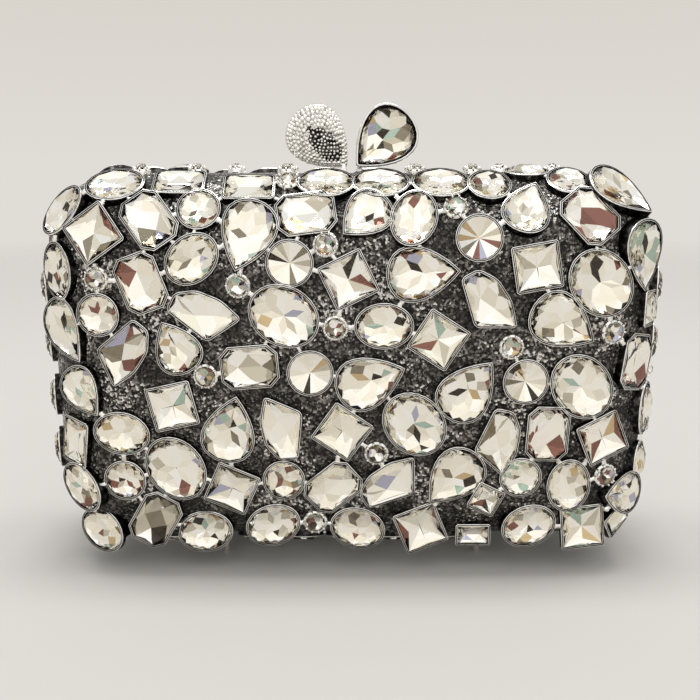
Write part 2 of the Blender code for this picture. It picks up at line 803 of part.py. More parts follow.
def lug_centre(side):
    """Middle of a lug's hole."""
    x = side * (HALF_WIDTH - RIM_THICKNESS - GAP - LUG_WIDTH / 2)
    return Vector((x, GAP / 2 + RIM_DEPTH / 2, CENTRE_Z + HALF_HEIGHT * LUG_Z_SHARE))


def lug_mesh(side):
    """A flat eye on the inner edge of the rear rim."""
    hole = RING_WIRE_RADIUS + GAP
    half_w = LUG_WIDTH / 2
    half_h = LUG_HEIGHT / 2
    count = 8
    outer = []
    inner = []
    for k in range(count):
        turn = math.tau * (k + 0.5) / count
        flat = max(abs(math.cos(turn)), abs(math.sin(turn)))
        outer.append((half_w * math.cos(turn) / flat, half_h * math.sin(turn) / flat))
        inner.append((hole * math.cos(turn), hole * math.sin(turn)))
    half_t = LUG_THICKNESS / 2
    centre = lug_centre(side)
    levels = ((outer, -half_t), (outer, half_t), (inner, half_t), (inner, -half_t))
    bm = bmesh.new()
    rings = add_loft(bm, [
        [centre + Vector((x, y, z)) for x, z in points] for points, y in levels
    ], cap_start=False, cap_end=False)
    bridge(bm, rings[-1], rings[0])
    return mesh_of(bm, "strap_lug")


def strap_ring_mesh():
    """A ring that hangs through a lug, with the joint's axis at its top."""
    around, section = 16, 6
    bm = bmesh.new()
    rings = []
    for k in range(around):
        turn = math.tau * k / around
        out = Vector((0, math.sin(turn), math.cos(turn)))
        ring = []
        for j in range(section):
            angle = math.tau * j / section
            reach = RING_RADIUS + RING_WIRE_RADIUS * math.cos(angle)
            point = out * reach + Vector((RING_WIRE_RADIUS * math.sin(angle), 0, -RING_RADIUS))
            ring.append(bm.verts.new(point))
        rings.append(ring)
    for k in range(around):
        bridge(bm, rings[k], rings[(k + 1) % around])
    mesh = mesh_of(bm, "strap_ring")
    round_off(mesh)
    return mesh


def build():
    """Make every piece and hang it on its body."""
    clear_scene()
    silver = finish("antique_silver", (0.62, 0.61, 0.59), 0.28, 1.0)
    polished = finish("polished_silver", (0.78, 0.77, 0.75), 0.12, 1.0)
    crystal = finish("champagne_crystal", (0.93, 0.89, 0.83), 0.03, 0.0, 0.8)
    satin = finish("black_satin", (0.02, 0.02, 0.022), 0.55, 0.0)

    root = add_body("rear_half", (0, 0, 0))
    lid = add_body("front_half", (0, 0, HINGE_Z))
    lid.parent = root
    half_round = Matrix.Rotation(math.pi, 4, "Z")
    to_lid = Matrix.Translation((0, 0, -HINGE_Z))
    halves = (("front", lid, to_lid, to_lid @ half_round), ("rear", root, half_round, Matrix.Identity(4)))

    loose = spread_apart(LOOSE_STONE_SHARES)
    shell = jewelled_shell(loose)
    lining = hollow_bowl(SHELL_THICKNESS + GAP, LINING_THICKNESS, SHELL_MOUTH, LINING_ROLL_STEPS, "lining")
    round_off(lining)
    rim = rim_mesh()
    petal = petal_mesh()
    petal_stone = petal_stone_mesh()
    for half, body, turned, petal_place in halves:
        add_piece(half + "_shell", shell, silver, body, turned)
        add_piece(half + "_lining", lining, satin, body, turned)
        add_piece(half + "_rim", rim, polished, body, turned)
        add_piece("clasp_petal_" + half, petal, silver, body, petal_place)
        add_piece("clasp_stone_" + half, petal_stone, crystal, body, petal_place)

    counts = {}
    for cut, x, z, turn in loose:
        counts[cut] = counts.get(cut, 0) + 1
        label = cut + "_" + str(counts[cut])
        stone = loose_stone(cut, seat(x, z, turn), label)
        for half, body, turned, petal_place in halves:
            add_piece(half + "_" + label, stone, crystal, body, turned)

    on_axis = Matrix.Translation((0, 0, HINGE_Z))
    for side, label in ((1, "right"), (-1, "left")):
        middle = side * HINGE_OFFSET
        add_piece("hinge_pin_" + label, pin_mesh(middle), polished, root, on_axis)
        rear_leaf = leaf_mesh(middle + GAP / 2, 1)
        front_leaf = leaf_mesh(middle + GAP / 2 - KNUCKLE_LENGTH, -1)
        add_piece("hinge_leaf_rear_" + label, rear_leaf, silver, root, on_axis)
        add_piece("hinge_leaf_front_" + label, front_leaf, silver, lid)
        foot_x = side * (HALF_WIDTH * FOOT_STONE_SHARE + FOOT_OFFSET)
        add_piece("foot_rear_" + label, foot_mesh(foot_x, FOOT_SETBACK), polished, root)
        add_piece("foot_front_" + label, foot_mesh(foot_x, -FOOT_SETBACK), polished, lid, to_lid)
        add_piece("strap_lug_" + label, lug_mesh(side), polished, root)
        hanger = add_body("strap_ring_axis_" + label, lug_centre(side))
        hanger.parent = root
        add_piece("strap_ring_" + label, strap_ring_mesh(), polished, hanger)


build()
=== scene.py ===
import math
import random

import bmesh
import bpy
from mathutils import Matrix, Vector


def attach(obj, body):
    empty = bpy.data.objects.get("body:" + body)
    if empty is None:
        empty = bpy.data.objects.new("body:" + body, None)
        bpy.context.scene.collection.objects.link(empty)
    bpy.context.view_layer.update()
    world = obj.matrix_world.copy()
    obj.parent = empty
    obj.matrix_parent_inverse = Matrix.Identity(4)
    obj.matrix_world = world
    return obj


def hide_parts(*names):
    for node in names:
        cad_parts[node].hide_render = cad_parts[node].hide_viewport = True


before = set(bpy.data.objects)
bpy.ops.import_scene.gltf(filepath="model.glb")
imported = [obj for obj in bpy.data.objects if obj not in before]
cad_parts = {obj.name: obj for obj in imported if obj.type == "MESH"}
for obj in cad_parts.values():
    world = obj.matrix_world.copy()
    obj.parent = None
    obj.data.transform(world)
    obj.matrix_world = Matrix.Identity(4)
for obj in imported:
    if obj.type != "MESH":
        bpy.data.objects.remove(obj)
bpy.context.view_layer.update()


# Shell. Each half is a shallow box pressed from thin sheet, its edge rolled over from the mouth to a
# crowned face. It is lacquered black and strewn with fine glitter before the cups are fixed on it.
shell_width, shell_height = 0.194, 0.121
centre_z = 0.067
shell_mouth = 0.00325
wall_depth = 0.004
corner_radius = 0.024
roll_inset, roll_depth = 0.022, 0.019
corner_steps, side_cuts, roll_steps = 8, 11, 8
crown = 0.004
face_ring_shares = (0.86, 0.83, 0.78, 0.7, 0.5)
sheet_thickness = 0.0012
hair = 0.00001
half_width, half_height = shell_width / 2, shell_height / 2


def hold(piece):
    """Only this piece selected and active."""
    bpy.ops.object.select_all(action="DESELECT")
    bpy.context.view_layer.objects.active = piece
    piece.select_set(True)


def new_piece(add_shape, **values):
    """A new piece made by one of Blender's plain shapes."""
    bpy.ops.object.select_all(action="DESELECT")
    add_shape(**values)
    return bpy.context.object


def edit_piece(piece):
    """Only this piece active, in edit mode, with nothing of it selected."""
    hold(piece)
    bpy.ops.object.mode_set(mode="EDIT")
    bpy.ops.mesh.select_mode(type="FACE")
    bpy.ops.mesh.select_all(action="DESELECT")


def choose(kind, test):
    """Select the faces, edges or points that pass a test, in edit mode."""
    mesh = bpy.context.edit_object.data
    bpy.ops.mesh.select_mode(type=kind)
    shape = bmesh.from_edit_mesh(mesh)
    for part in {"FACE": shape.faces, "EDGE": shape.edges, "VERT": shape.verts}[kind]:
        part.select_set(bool(test(part)))
    bmesh.update_edit_mesh(mesh)


def choose_faces(test):
    """Select the faces whose centre and normal pass a test."""
    choose("FACE", lambda face: test(face.calc_center_median(), face.normal))


def choose_all():
    """Select all the faces of the piece in edit mode."""
    choose("FACE", lambda face: True)


def choose_edges(test):
    """Select the edges whose two ends pass a test."""
    choose("EDGE", lambda edge: test(edge.verts[0].co, edge.verts[1].co))


def choose_points(test):
    """Select the points whose place passes a test."""
    choose("VERT", lambda point: test(point.co))


def extrude(x, y, z):
    """Extrude what is selected by a step."""
    bpy.ops.mesh.extrude_region_move(TRANSFORM_OT_translate={"value": (x, y, z)})


def round_corners(piece, radius, segments):
    """Go into edit mode on an outline and round all its corners, or cut them off with one segment."""
    edit_piece(piece)
    bpy.ops.mesh.select_mode(type="VERT")
    bpy.ops.mesh.select_all(action="SELECT")
    bpy.ops.mesh.bevel(offset=radius, segments=segments, affect="VERTICES")


def finish_piece(piece, name, smooth_degrees=None):
    """Leave edit mode with the piece's place in its mesh, and shade it."""
    if bpy.context.mode != "OBJECT":
        bpy.ops.object.mode_set(mode="OBJECT")
    hold(piece)
    bpy.ops.object.transform_apply(location=True, rotation=True, scale=True)
    if smooth_degrees is not None:
        bpy.ops.object.shade_smooth_by_angle(angle=math.radians(smooth_degrees))
    piece.name = name
    piece.data.name = name
    return piece


def apply_all(piece):
    """Apply a piece's modifiers in their order."""
    hold(piece)
    for step in list(piece.modifiers):
        bpy.ops.object.modifier_apply(modifier=step.name)


def give_finish(piece, *materials):
    """Put materials in a piece's slots, in order."""
    piece.data.materials.clear()
    for material in materials:
        piece.data.materials.append(material)


def placed_copy(model, place):
    """A copy of a model with a mesh of its own, moved to a place."""
    copy = model.copy()
    copy.data = model.data.copy()
    copy.data.transform(place)
    bpy.context.collection.objects.link(copy)
    return copy


def both_halves(piece):
    """A piece with the name of its half, then its copy for the other half, turned half round."""
    half, other_half = ("front", "rear") if piece.name.startswith("front") else ("rear", "front")
    other = placed_copy(piece, Matrix.Rotation(math.pi, 4, "Z"))
    other.name = piece.name.replace(half, other_half)
    other.data.name = other.name
    return (piece, half), (other, other_half)


def crown_at(x, z):
    """How far the face swells at a place, measured from the middle of the shell."""
    return crown * (1 - (x / half_width) ** 2) * (1 - (z / half_height) ** 2)


def upright_sheet(depth, layer, segments):
    """A flat upright face in the shell's outline or a layer's distance inside it, left in edit mode."""
    spot, upright = (0, -depth, centre_z), (math.pi / 2, 0, 0)
    sheet = new_piece(bpy.ops.mesh.primitive_plane_add, size=1, location=spot, rotation=upright)
    sheet.scale = (shell_width - 2 * layer, shell_height - 2 * layer, 1)
    finish_piece(sheet, "sheet")
    round_corners(sheet, corner_radius - layer, segments)
    return sheet


def pressed_tray(name, layer, thickness):
    """A pressed box half, a layer's distance inside the shell's own surface."""
    tray = upright_sheet(shell_mouth, layer, corner_steps)
    choose_edges(lambda a, b: (a - b).length > corner_radius)
    bpy.ops.mesh.subdivide(number_cuts=side_cuts)
    choose_all()
    extrude(0, shell_mouth - wall_depth, 0)
    for step in range(roll_steps):
        turn, after = math.pi / 2 * step / roll_steps, math.pi / 2 * (step + 1) / roll_steps
        bpy.ops.mesh.inset(
            thickness=(roll_inset - layer) * (math.cos(turn) - math.cos(after)),
            depth=(roll_depth - layer) * (math.sin(after) - math.sin(turn)),
        )
    for share in face_ring_shares:
        bpy.ops.mesh.extrude_region_move()
        bpy.ops.transform.resize(value=(share, 1, share), center_override=(0, 0, centre_z))
    choose_faces(lambda centre, normal: normal.y > 0.9)
    bpy.ops.mesh.delete(type="FACE")
    bpy.ops.object.mode_set(mode="OBJECT")
    for vertex in tray.data.vertices:
        if vertex.co.y < -shell_mouth - hair:
            vertex.co.y -= crown_at(vertex.co.x, vertex.co.z - centre_z)
    if thickness:
        wall = tray.modifiers.new("wall", "SOLIDIFY")
        wall.thickness = thickness
        wall.offset = -1
        apply_all(tray)
    return finish_piece(tray, name, 40)


def set_values(node, **values):
    """Set a node's sockets and settings by their names, and return the node."""
    for key, value in values.items():
        socket = key.replace("_", " ")
        if socket in node.inputs:
            node.inputs[socket].default_value = value
        else:
            setattr(node, key, value)
    return node


def node_tools(tree):
    """For a tree of nodes: a function that adds a node with its values, and one that links two nodes."""

    def add(kind, **values):
        return set_values(tree.nodes.new(kind), **values)

    def link(giver, output, taker, entry):
        tree.links.new(giver.outputs[output], taker.inputs[entry])

    return add, link


def new_finish(name, **constants):
    """A material, its Principled shader with its constants set, and the tools for its nodes."""
    material = bpy.data.materials.new(name)
    material.use_nodes = True
    shader = set_values(material.node_tree.nodes["Principled BSDF"], **constants)
    return material, shader, *node_tools(material.node_tree)


def set_ramp(ramp, stops, steady=False):
    """Give a ramp node its stops, as places with grey levels or colours."""
    band = ramp.color_ramp
    band.interpolation = "CONSTANT" if steady else "LINEAR"
    while len(band.elements) < len(stops):
        band.elements.new(0.5)
    for element, (place, colour) in zip(band.elements, stops):
        element.position = place
        if isinstance(colour, (int, float)):
            colour = (colour, colour, colour)
        element.color = (*colour, 1)


glitter, shader, add, link = new_finish("black_glitter", Metallic=0.7)
place = add("ShaderNodeTexCoord")
grain = add("ShaderNodeTexVoronoi", Scale=1450.0)
patch = add("ShaderNodeTexNoise", Scale=70.0, Detail=3.0)
spread = add("ShaderNodeMapRange", From_Min=0.3, From_Max=0.7, To_Min=0.48, To_Max=1.16)
mixed = add("ShaderNodeMath", operation="MULTIPLY")
flakes = add("ShaderNodeValToRGB")
shine = add("ShaderNodeValToRGB")
lift = add("ShaderNodeBump", Strength=1.0, Distance=0.0003)
split = add("ShaderNodeSeparateColor")
set_ramp(flakes, (
    (0.0, (0.016, 0.014, 0.012)), (0.30, (0.050, 0.045, 0.040)), (0.50, (0.13, 0.12, 0.108)),
    (0.66, (0.27, 0.255, 0.23)), (0.81, (0.74, 0.72, 0.67)),
), True)
set_ramp(shine, ((0.0, 0.5), (0.5, 0.25), (0.8, 0.12)), True)
link(place, "Object", grain, "Vector")
link(place, "Object", patch, "Vector")
link(patch, "Fac", spread, "Value")
link(grain, "Color", split, "Color")
link(split, "Red", mixed, 0)
link(spread, "Result", mixed, 1)
link(mixed, "Value", flakes, "Fac")
link(split, "Green", shine, "Fac")
link(grain, "Distance", lift, "Height")
link(flakes, "Color", shader, "Base Color")
link(shine, "Color", shader, "Roughness")
link(lift, "Normal", shader, "Normal")

front_ground = pressed_tray("front_ground", 0.0, sheet_thickness)
under_skin = pressed_tray("under_skin", sheet_thickness * 0.6, 0.0)
give_finish(front_ground, glitter)
for ground, half in both_halves(front_ground):
    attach(ground, half + "_half")
    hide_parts(half + "_shell")


# Oval and round stones. Each is a pressed crystal with a flat table, a facetted crown and a foiled
# back, dropped into a cast cup whose lip is rolled over its edge. The lip is bright; its groove, ledge and
# outer wall are dark silver, painted shade.
great_oval_seats = (
    (-0.21, 0.31, -30), (0.77, 0.47, -50), (0.73, -0.06, -50), (0.20, -0.25, -50), (-0.57, -0.50, -60),
)
oval_seats = (
    (-0.49, 0.59, 40), (0.10, 0.26, 0), (0.19, 0.78, 72), (-0.74, -0.31, -8), (0.71, -0.60, 90),
    (-0.92, 0.52, -85), (-0.89, -0.63, -42), (-0.84, -0.88, -20), (-0.49, -0.87, 5), (-0.26, -0.82, 20),
    (0.02, -0.84, -15), (0.59, -0.83, 20), (0.97, -0.23, 90), (-0.90, 0.81, 45), (-0.74, 0.93, 10),
    (-0.08, 0.94, 0), (0.09, 0.94, 0), (0.28, 0.94, 0),
)
edge_oval_seats = ((0.96, -0.52, 90),)
wall_oval_seats = (
    (0.56, 1.00, 0), (-1.00, 0.42, 90), (-1.00, 0.12, 90), (-1.00, -0.18, 90), (-1.00, -0.48, 90),
    (1.00, 0.42, 90), (1.00, 0.12, 90),
    (-0.62, -1.00, 0), (-0.33, -1.00, 0), (-0.17, -1.00, 0), (-0.02, -1.00, 0),
    (0.15, -1.00, 0), (0.32, -1.00, 0), (0.62, -1.00, 0),
)
round_seats = (
    (-0.47, 0.82, 0), (-0.79, 0.31, 0), (-0.74, -0.57, 0), (-0.22, -0.56, 0), (0.55, -0.55, 0),
    (0.43, 0.93, 0), (0.68, 0.95, 0),
)
cup_sides = 28
pear_power, pear_belly = 0.9, 0.77
beside_tip, at_tip = 0.95, 0.999
cup_foot = 0.0030
cup_wall = 0.00092
cup_reach = 0.009
wall_top = 0.0013
# Each step is an inset, its rise and its finish; finish 1, the dark one, on the falling walls, the groove and
# the ledge, is painted shade.
lip_steps = (
    (0.00006, 0.00022, 0), (0.00018, 0.00008, 0), (0.00006, -0.00045, 1), (0.00022, 0.0, 1),
    (0.00006, 0.00042, 1), (0.00016, 0.00004, 0), (0.00006, -0.00048, 1), (0.00024, -0.00002, 1),
)
small_share, small_least = 0.22, 0.50
lower_lean, lower_drop, lower_swell = -0.20, 0.0012, 0.0038
girdle_height = 0.00135
table_height = 0.0030
culet_height = 0.0001
wall_steps, wall_search = 36, 0.03
foil_slope = 0.02
cup_rows = []
cup_places = []


def seat(x_share, z_share, turn, roll_degrees=None):
    """A stone's frame on the front shell: its length, its width, and the way out of the surface."""
    x, z = half_width * x_share, half_height * z_share
    over_x, over_z = abs(x) - half_width + corner_radius, abs(z) - half_height + corner_radius
    if over_x > 0 and over_z > 0:
        reach = math.hypot(over_x, over_z)
        inset = corner_radius - reach
        way = (math.copysign(over_x / reach, x), math.copysign(over_z / reach, z))
    elif over_x > over_z:
        inset, way = half_width - abs(x), (math.copysign(1.0, x), 0.0)
    else:
        inset, way = half_height - abs(z), (0.0, math.copysign(1.0, z))
    if roll_degrees is None:
        angle = math.acos(max(0.0, 1 - inset / roll_inset))
    else:
        angle = math.radians(roll_degrees)
        shift = inset - roll_inset * (1 - math.cos(angle))
        x, z = x + way[0] * shift, z + way[1] * shift
    depth = wall_depth + roll_depth * math.sin(angle) + crown_at(x, z)
    slope_x = -2 * crown * x / half_width ** 2 * (1 - (z / half_height) ** 2)
    slope_z = -2 * crown * z / half_height ** 2 * (1 - (x / half_width) ** 2)
    rise, lean = roll_inset * math.sin(angle), roll_depth * math.cos(angle)
    lean_z = lean
    if z < 0 and roll_degrees is None:
        sag = max(math.cos(angle), 0) * abs(way[1])
        lean_z, z, depth = lean * lower_lean, z - lower_drop * sag, depth + lower_swell * sag
    out = Vector((way[0] * lean - slope_x * rise, -rise, way[1] * lean_z - slope_z * rise)).normalized()
    tilt = Vector((0, -1, 0)).rotation_difference(out).to_matrix()
    upright = Matrix(((1, 0, 0), (0, 0, -1), (0, 1, 0)))
    spun = (tilt @ upright @ Matrix.Rotation(math.radians(turn), 3, "Z")).to_4x4()
    spun.translation = Vector((x, -depth, centre_z + z))
    return spun


def pear_taper(turn):
    """The share of an oval's width that is left in a pear, at a turn from its tip."""
    return abs(math.sin(turn / 2)) ** pear_power / pear_belly


def squeeze_to_pear(vertices):
    """Draw a circle's points in towards +X, so that it ends in a tip there."""
    for vertex in vertices:
        vertex.co.y *= pear_taper(math.atan2(vertex.co.y, vertex.co.x))


def flat_disc(sides, radius, place):
    """A new flat face with even sides."""
    return new_piece(
        bpy.ops.mesh.primitive_circle_add, vertices=sides, radius=radius, fill_type="NGON", location=place,
    )


def round_outline(length, width, sides, pear=False):
    """A flat face in the outline of an oval, a round or a pear cup, at the level of the cup's foot."""
    piece = flat_disc(sides, 1, (0, 0, -cup_foot))
    if pear:
        squeeze_to_pear(piece.data.vertices)
        edit_piece(piece)
        choose_points(lambda point: beside_tip < point.x < at_tip)
        bpy.ops.mesh.dissolve_verts()
        bpy.ops.object.mode_set(mode="OBJECT")
    piece.scale = (length / 2, width / 2, 1)
    return finish_piece(piece, "outline")


def face_outwards():
    """Turn all the faces of the piece in edit mode outwards."""
    bpy.ops.mesh.select_all(action="SELECT")
    bpy.ops.mesh.normals_make_consistent(inside=False)


def paint(piece, finish):
    """Give the faces chosen in edit mode one of their piece's finishes."""
    piece.active_material_index = finish
    bpy.ops.object.material_slot_assign()


def raise_cup(piece):
    """Turn a flat outline into a cup: wall, two ridges with a groove between, and a ledge for the stone."""
    give_finish(piece, bright_silver, blackened_silver)
    edit_piece(piece)
    choose_all()
    # The outer wall takes the dark finish, painted shade.
    paint(piece, 1)
    extrude(0, 0, cup_foot + wall_top)
    for thickness, rise, finish in lip_steps:
        paint(piece, finish)
        bpy.ops.mesh.inset(thickness=thickness, depth=rise)
    ledge = wall_top + sum(rise for thickness, rise, finish in lip_steps)
    extrude(0, 0, -cup_foot - ledge)
    choose_faces(lambda centre, normal: abs(centre.z + cup_foot) < hair)
    bpy.ops.mesh.delete(type="FACE")
    choose_edges(lambda a, b: max(a.z, b.z) < hair - cup_foot)
    bpy.ops.mesh.bridge_edge_loops()
    face_outwards()
    return mark_foot(finish_piece(piece, "cup", 50))


def mark_foot(piece):
    """Name the lowest points of a cup, which are let down on the shell when it is placed."""
    foot = piece.vertex_groups.new(name="foot")
    foot.add([v.index for v in piece.data.vertices if v.co.z < hair - cup_foot], 1.0, "REPLACE")
    return piece


def let_down(cup, place):
    """Bring the foot of a placed cup down its own axis to the shell, or shorten it where there is none."""
    down = -place.col[2].to_3d()
    for vertex in cup.data.vertices:
        if vertex.groups:
            start = vertex.co - down * (cup_foot + wall_top)
            found, spot, normal, face = under_skin.ray_cast(start, down, distance=cup_reach)
            vertex.co = spot if found else vertex.co - down * cup_foot


def walls_round(model):
    """How far a cup's wall stands from its middle, in even steps round it."""
    walls = []
    for step in range(wall_steps):
        turn = math.tau * step / wall_steps
        way = Vector((math.cos(turn), math.sin(turn), 0))
        found, spot, normal, face = model.ray_cast(way * wall_search, -way)
        walls.append(spot.length if found else 0.0)
    return walls


def blank_stone(points, height=0.0):
    """A new piece, empty and in edit mode, made from a ring of so many points."""
    stone = new_piece(bpy.ops.mesh.primitive_circle_add, vertices=points, radius=1, location=(0, 0, height))
    edit_piece(stone)
    bpy.ops.mesh.select_mode(type="VERT")
    bpy.ops.mesh.select_all(action="SELECT")
    bpy.ops.mesh.delete(type="VERT")
    return stone


def add_ring(points, radius, height, start=0.0):
    """Add a ring of points to the stone in edit mode."""
    spot, spun = (0, 0, height), (0, 0, start)
    bpy.ops.mesh.primitive_circle_add(vertices=points, radius=radius, location=spot, rotation=spun)


def close_stone(stone, name, merge=True):
    """Wrap a stone's points in facets and give it a clear crown and a foiled back."""
    bpy.ops.mesh.select_all(action="SELECT")
    bpy.ops.mesh.convex_hull()
    if merge:
        bpy.ops.mesh.select_all(action="SELECT")
        bpy.ops.mesh.dissolve_limited(angle_limit=math.radians(1.0))
    finish_piece(stone, name)
    give_finish(stone, clear_crystal, mirror_foil)
    for face in stone.data.polygons:
        face.material_index = 1 if face.normal.z < -foil_slope else 0
    return stone


def cut_brilliant(name, length, width, ways, pear=False, table_share=0.62):
    """A stone with a flat table, a ring of crown facets and a pointed back, from rings of points."""
    half_l, half_w = length / 2 - cup_wall, width / 2 - cup_wall
    half_step = math.pi / ways
    rise = table_height - girdle_height
    levels = (
        (ways, half_step, table_share, table_height),
        (ways, 0.0, table_share + (1 - table_share) * 0.50, girdle_height + rise * 0.66),
        (ways * 2, half_step / 2, 1.0, girdle_height),
        (ways * 2, 0.0, 0.88, girdle_height * 0.81),
        (ways, 0.0, 0.68, girdle_height * 0.57),
        (ways, half_step, 0.38, girdle_height * 0.31),
        (3, 0.3, 0.03, culet_height),
    )
    stone = blank_stone(ways)
    for count, start, share, height in levels:
        add_ring(count, 1, height, start)
        if pear:
            shape = bmesh.from_edit_mesh(stone.data)
            squeeze_to_pear([v for v in shape.verts if v.select])
        bpy.ops.transform.resize(value=(half_l * share, half_w * share, 1), center_override=(0, 0, height))
    return close_stone(stone, name)


def number_facets(piece, name, least):
    """Give each facet of a stone a number of its own, from the least to one; the foil paints dark reflections
    and flashes of fire by this number, and small facets get more of them.
    """
    chance = random.Random(name)
    tones = piece.data.attributes.new("facet", "FLOAT", "FACE")
    largest = max(facet.area for facet in piece.data.polygons if facet.material_index)
    for tone, facet in zip(tones.data, piece.data.polygons):
        low = max(least, small_least) if facet.area < small_share * largest else least
        tone.value = low + (1 - low) * chance.random()


def join_pieces(name, pieces):
    """Several pieces as one."""
    hold(pieces[0])
    for piece in pieces:
        piece.select_set(True)
    if len(pieces) > 1:
        bpy.ops.object.join()
    pieces[0].name = name
    pieces[0].data.name = name
    return pieces[0]


def set_all(name, model, seats, roll_degrees=None, least=0.0):
    """Copies of a cup or a stone at its seats, joined to one piece."""
    copies = []
    walls = walls_round(model) if model.vertex_groups else None
    for number, (x_share, z_share, turn) in enumerate(seats):
        place = seat(x_share, z_share, turn, roll_degrees)
        copy = placed_copy(model, place)
        if walls:
            let_down(copy, place)
            cup_places.append((place, walls))
        else:
            number_facets(copy, name + str(number), least)
        copies.append(copy)
    return join_pieces(name, copies)


def drop_models(*models):
    """Remove the models that the copies were made from."""
    for model in models:
        bpy.data.objects.remove(model, do_unlink=True)


def set_stones(kind, cup, stone, seats, roll_degrees=None, least=0.0):
    """A cup and a stone at each seat; the cups are kept for the net, and the stones come back as one."""
    cup_rows.append(set_all("front_" + kind + "_cups", cup, seats, roll_degrees))
    stones = set_all("front_" + kind + "_stones", stone, seats, roll_degrees, least)
    drop_models(cup, stone)
    return stones


def vary(shader, add, link, noise, tones=None, glosses=None):
    """Let a noise change a finish from place to place, in its colour, its roughness or both."""
    link(add("ShaderNodeTexCoord"), "Object", noise, "Vector")
    for stops, entry in ((tones, "Base Color"), (glosses, "Roughness")):
        if stops:
            ramp = add("ShaderNodeValToRGB")
            set_ramp(ramp, stops)
            link(noise, "Fac", ramp, "Fac")
            link(ramp, "Color", shader, entry)


bright_silver, shader, add, link = new_finish("bright_silver", Metallic=1.0)
wear = add("ShaderNodeTexNoise", Scale=420.0, Detail=4.0)
dents = add("ShaderNodeBump", Strength=0.35, Distance=0.00012)
silver_tones = ((0.30, (0.55, 0.525, 0.48)), (0.48, (0.90, 0.88, 0.83)), (0.75, (0.98, 0.965, 0.925)))
vary(shader, add, link, wear, tones=silver_tones, glosses=((0.3, 0.32), (0.7, 0.12)))
link(wear, "Fac", dents, "Height")
link(dents, "Normal", shader, "Normal")

# Dark silver that paints shade: the groove, ledge and outer wall of the cups, and the inner lip of the
# petals. It also paints the dark reflection in the middle of a petal's back.
blackened_silver, shader, add, link = new_finish("blackened_silver", Metallic=1.0, Roughness=0.34)
wear = add("ShaderNodeTexNoise", Scale=650.0, Detail=5.0)
black_tones = ((0.48, (0.012, 0.011, 0.010)), (0.64, (0.09, 0.085, 0.08)), (0.80, (0.40, 0.39, 0.37)))
vary(shader, add, link, wear, tones=black_tones)

clear_crystal, shader, add, link = new_finish(
    "clear_crystal", Base_Color=(1.0, 0.988, 0.95, 1), Transmission_Weight=1.0, IOR=1.25,
)
haze = add("ShaderNodeTexNoise", Scale=90.0, Detail=2.0)
vary(shader, add, link, haze, glosses=((0.45, 0.0), (0.80, 0.03)))

# The foil's colour changes facet by facet. Its dark facets are painted reflections of dark surroundings. Its
# brown, ochre, teal and violet facets are painted flashes of fire.
mirror_foil, shader, add, link = new_finish("mirror_foil", Metallic=1.0, Roughness=0.06)
number = add("ShaderNodeAttribute", attribute_name="facet")
painted_flash_tint = add("ShaderNodeValToRGB")
set_ramp(painted_flash_tint, (
    (0.00, (0.98, 0.955, 0.90)), (0.34, (0.94, 0.90, 0.80)), (0.54, (0.85, 0.805, 0.70)),
    (0.65, (0.985, 0.975, 0.945)), (0.77, (0.58, 0.54, 0.45)), (0.83, (0.26, 0.225, 0.17)),
    (0.87, (0.055, 0.045, 0.035)), (0.895, (0.25, 0.12, 0.095)), (0.922, (0.60, 0.46, 0.27)),
    (0.938, (0.42, 0.54, 0.47)), (0.954, (0.46, 0.46, 0.58)), (0.97, (0.985, 0.98, 0.96)),
), True)
link(number, "Fac", painted_flash_tint, "Fac")
link(painted_flash_tint, "Color", shader, "Base Color")

stone_rows = []
for kind, length, width, ways, seats, roll in (
    ("great_oval", 0.0225, 0.0185, 9, great_oval_seats, None),
    ("oval", 0.0182, 0.0142, 8, oval_seats, None),
    ("edge_oval", 0.0140, 0.0090, 6, edge_oval_seats, None),
    ("wall_oval", 0.0140, 0.0090, 6, wall_oval_seats, 14.0),
    ("round", 0.0136, 0.0136, 8, round_seats, None),
):
    cup = raise_cup(round_outline(length, width, cup_sides))
    stone = cut_brilliant(kind + "_stone", length, width, ways)
    stone_rows.append(set_stones(kind, cup, stone, seats, roll))
for stones, half in both_halves(join_pieces("front_oval_stones", stone_rows)):
    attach(stones, half + "_half")
    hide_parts(*[half + "_great_oval_" + str(k + 1) for k in range(len(great_oval_seats))])


# Pear stones. Pressed crystal like the ovals, with the same foil and the same cups, but drawn out to a
# tip at one end. They fill the long gaps between the ovals.
great_pear_seats = (
    (-0.32, 0.70, -108), (-0.39, -0.28, 77), (0.22, 0.52, 4), (0.06, -0.02, 21), (0.37, -0.07, 52),
    (0.66, 0.27, -31), (0.33, -0.55, -130), (-0.91, 0.21, -52), (0.91, 0.60, -84), (0.84, 0.90, -40),
)
loose_pears = 6
pear_ways = 8
pear_seats = (
    (-0.55, 0.15, 117), (0.04, 0.79, -137), (0.54, 0.83, 70), (-0.86, -0.10, -52), (0.90, -0.67, 175),
)
stone_rows = []
for kind, length, width, seats in (
    ("great_pear", 0.0224, 0.0168, great_pear_seats),
    ("pear", 0.0176, 0.0146, pear_seats),
):
    cup = raise_cup(round_outline(length, width, cup_sides, pear=True))
    stone = cut_brilliant(kind + "_stone", length, width, pear_ways, pear=True)
    stone_rows.append(set_stones(kind, cup, stone, seats))
for stones, half in both_halves(join_pieces("front_pear_stones", stone_rows)):
    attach(stones, half + "_half")
    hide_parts(*[half + "_great_pear_" + str(k + 1) for k in range(loose_pears)])


# Five-sided stones. Pressed crystal with a large flat table and narrow bevels, one side of the outline
# bowed. The cup follows the outline, with its corners rounded where the lip is rolled over.
shield_seats = (
    (-0.46, 0.31, 0), (-0.72, 0.12, -102), (-0.22, -0.27, 123), (0.42, 0.37, -34), (0.47, -0.35, -75),
    (0.13, -0.58, 58),
)
shield_length, shield_width, shield_rounding = 0.0244, 0.0164, 0.0016
shield_table_share, shield_keel_share = 0.70, 0.25
shield_corner_shares = (
    (-0.93, 0.20), (-0.70, 0.86), (-0.15, 0.96), (0.46, 0.60), (0.97, -0.12), (0.08, -1.00),
)


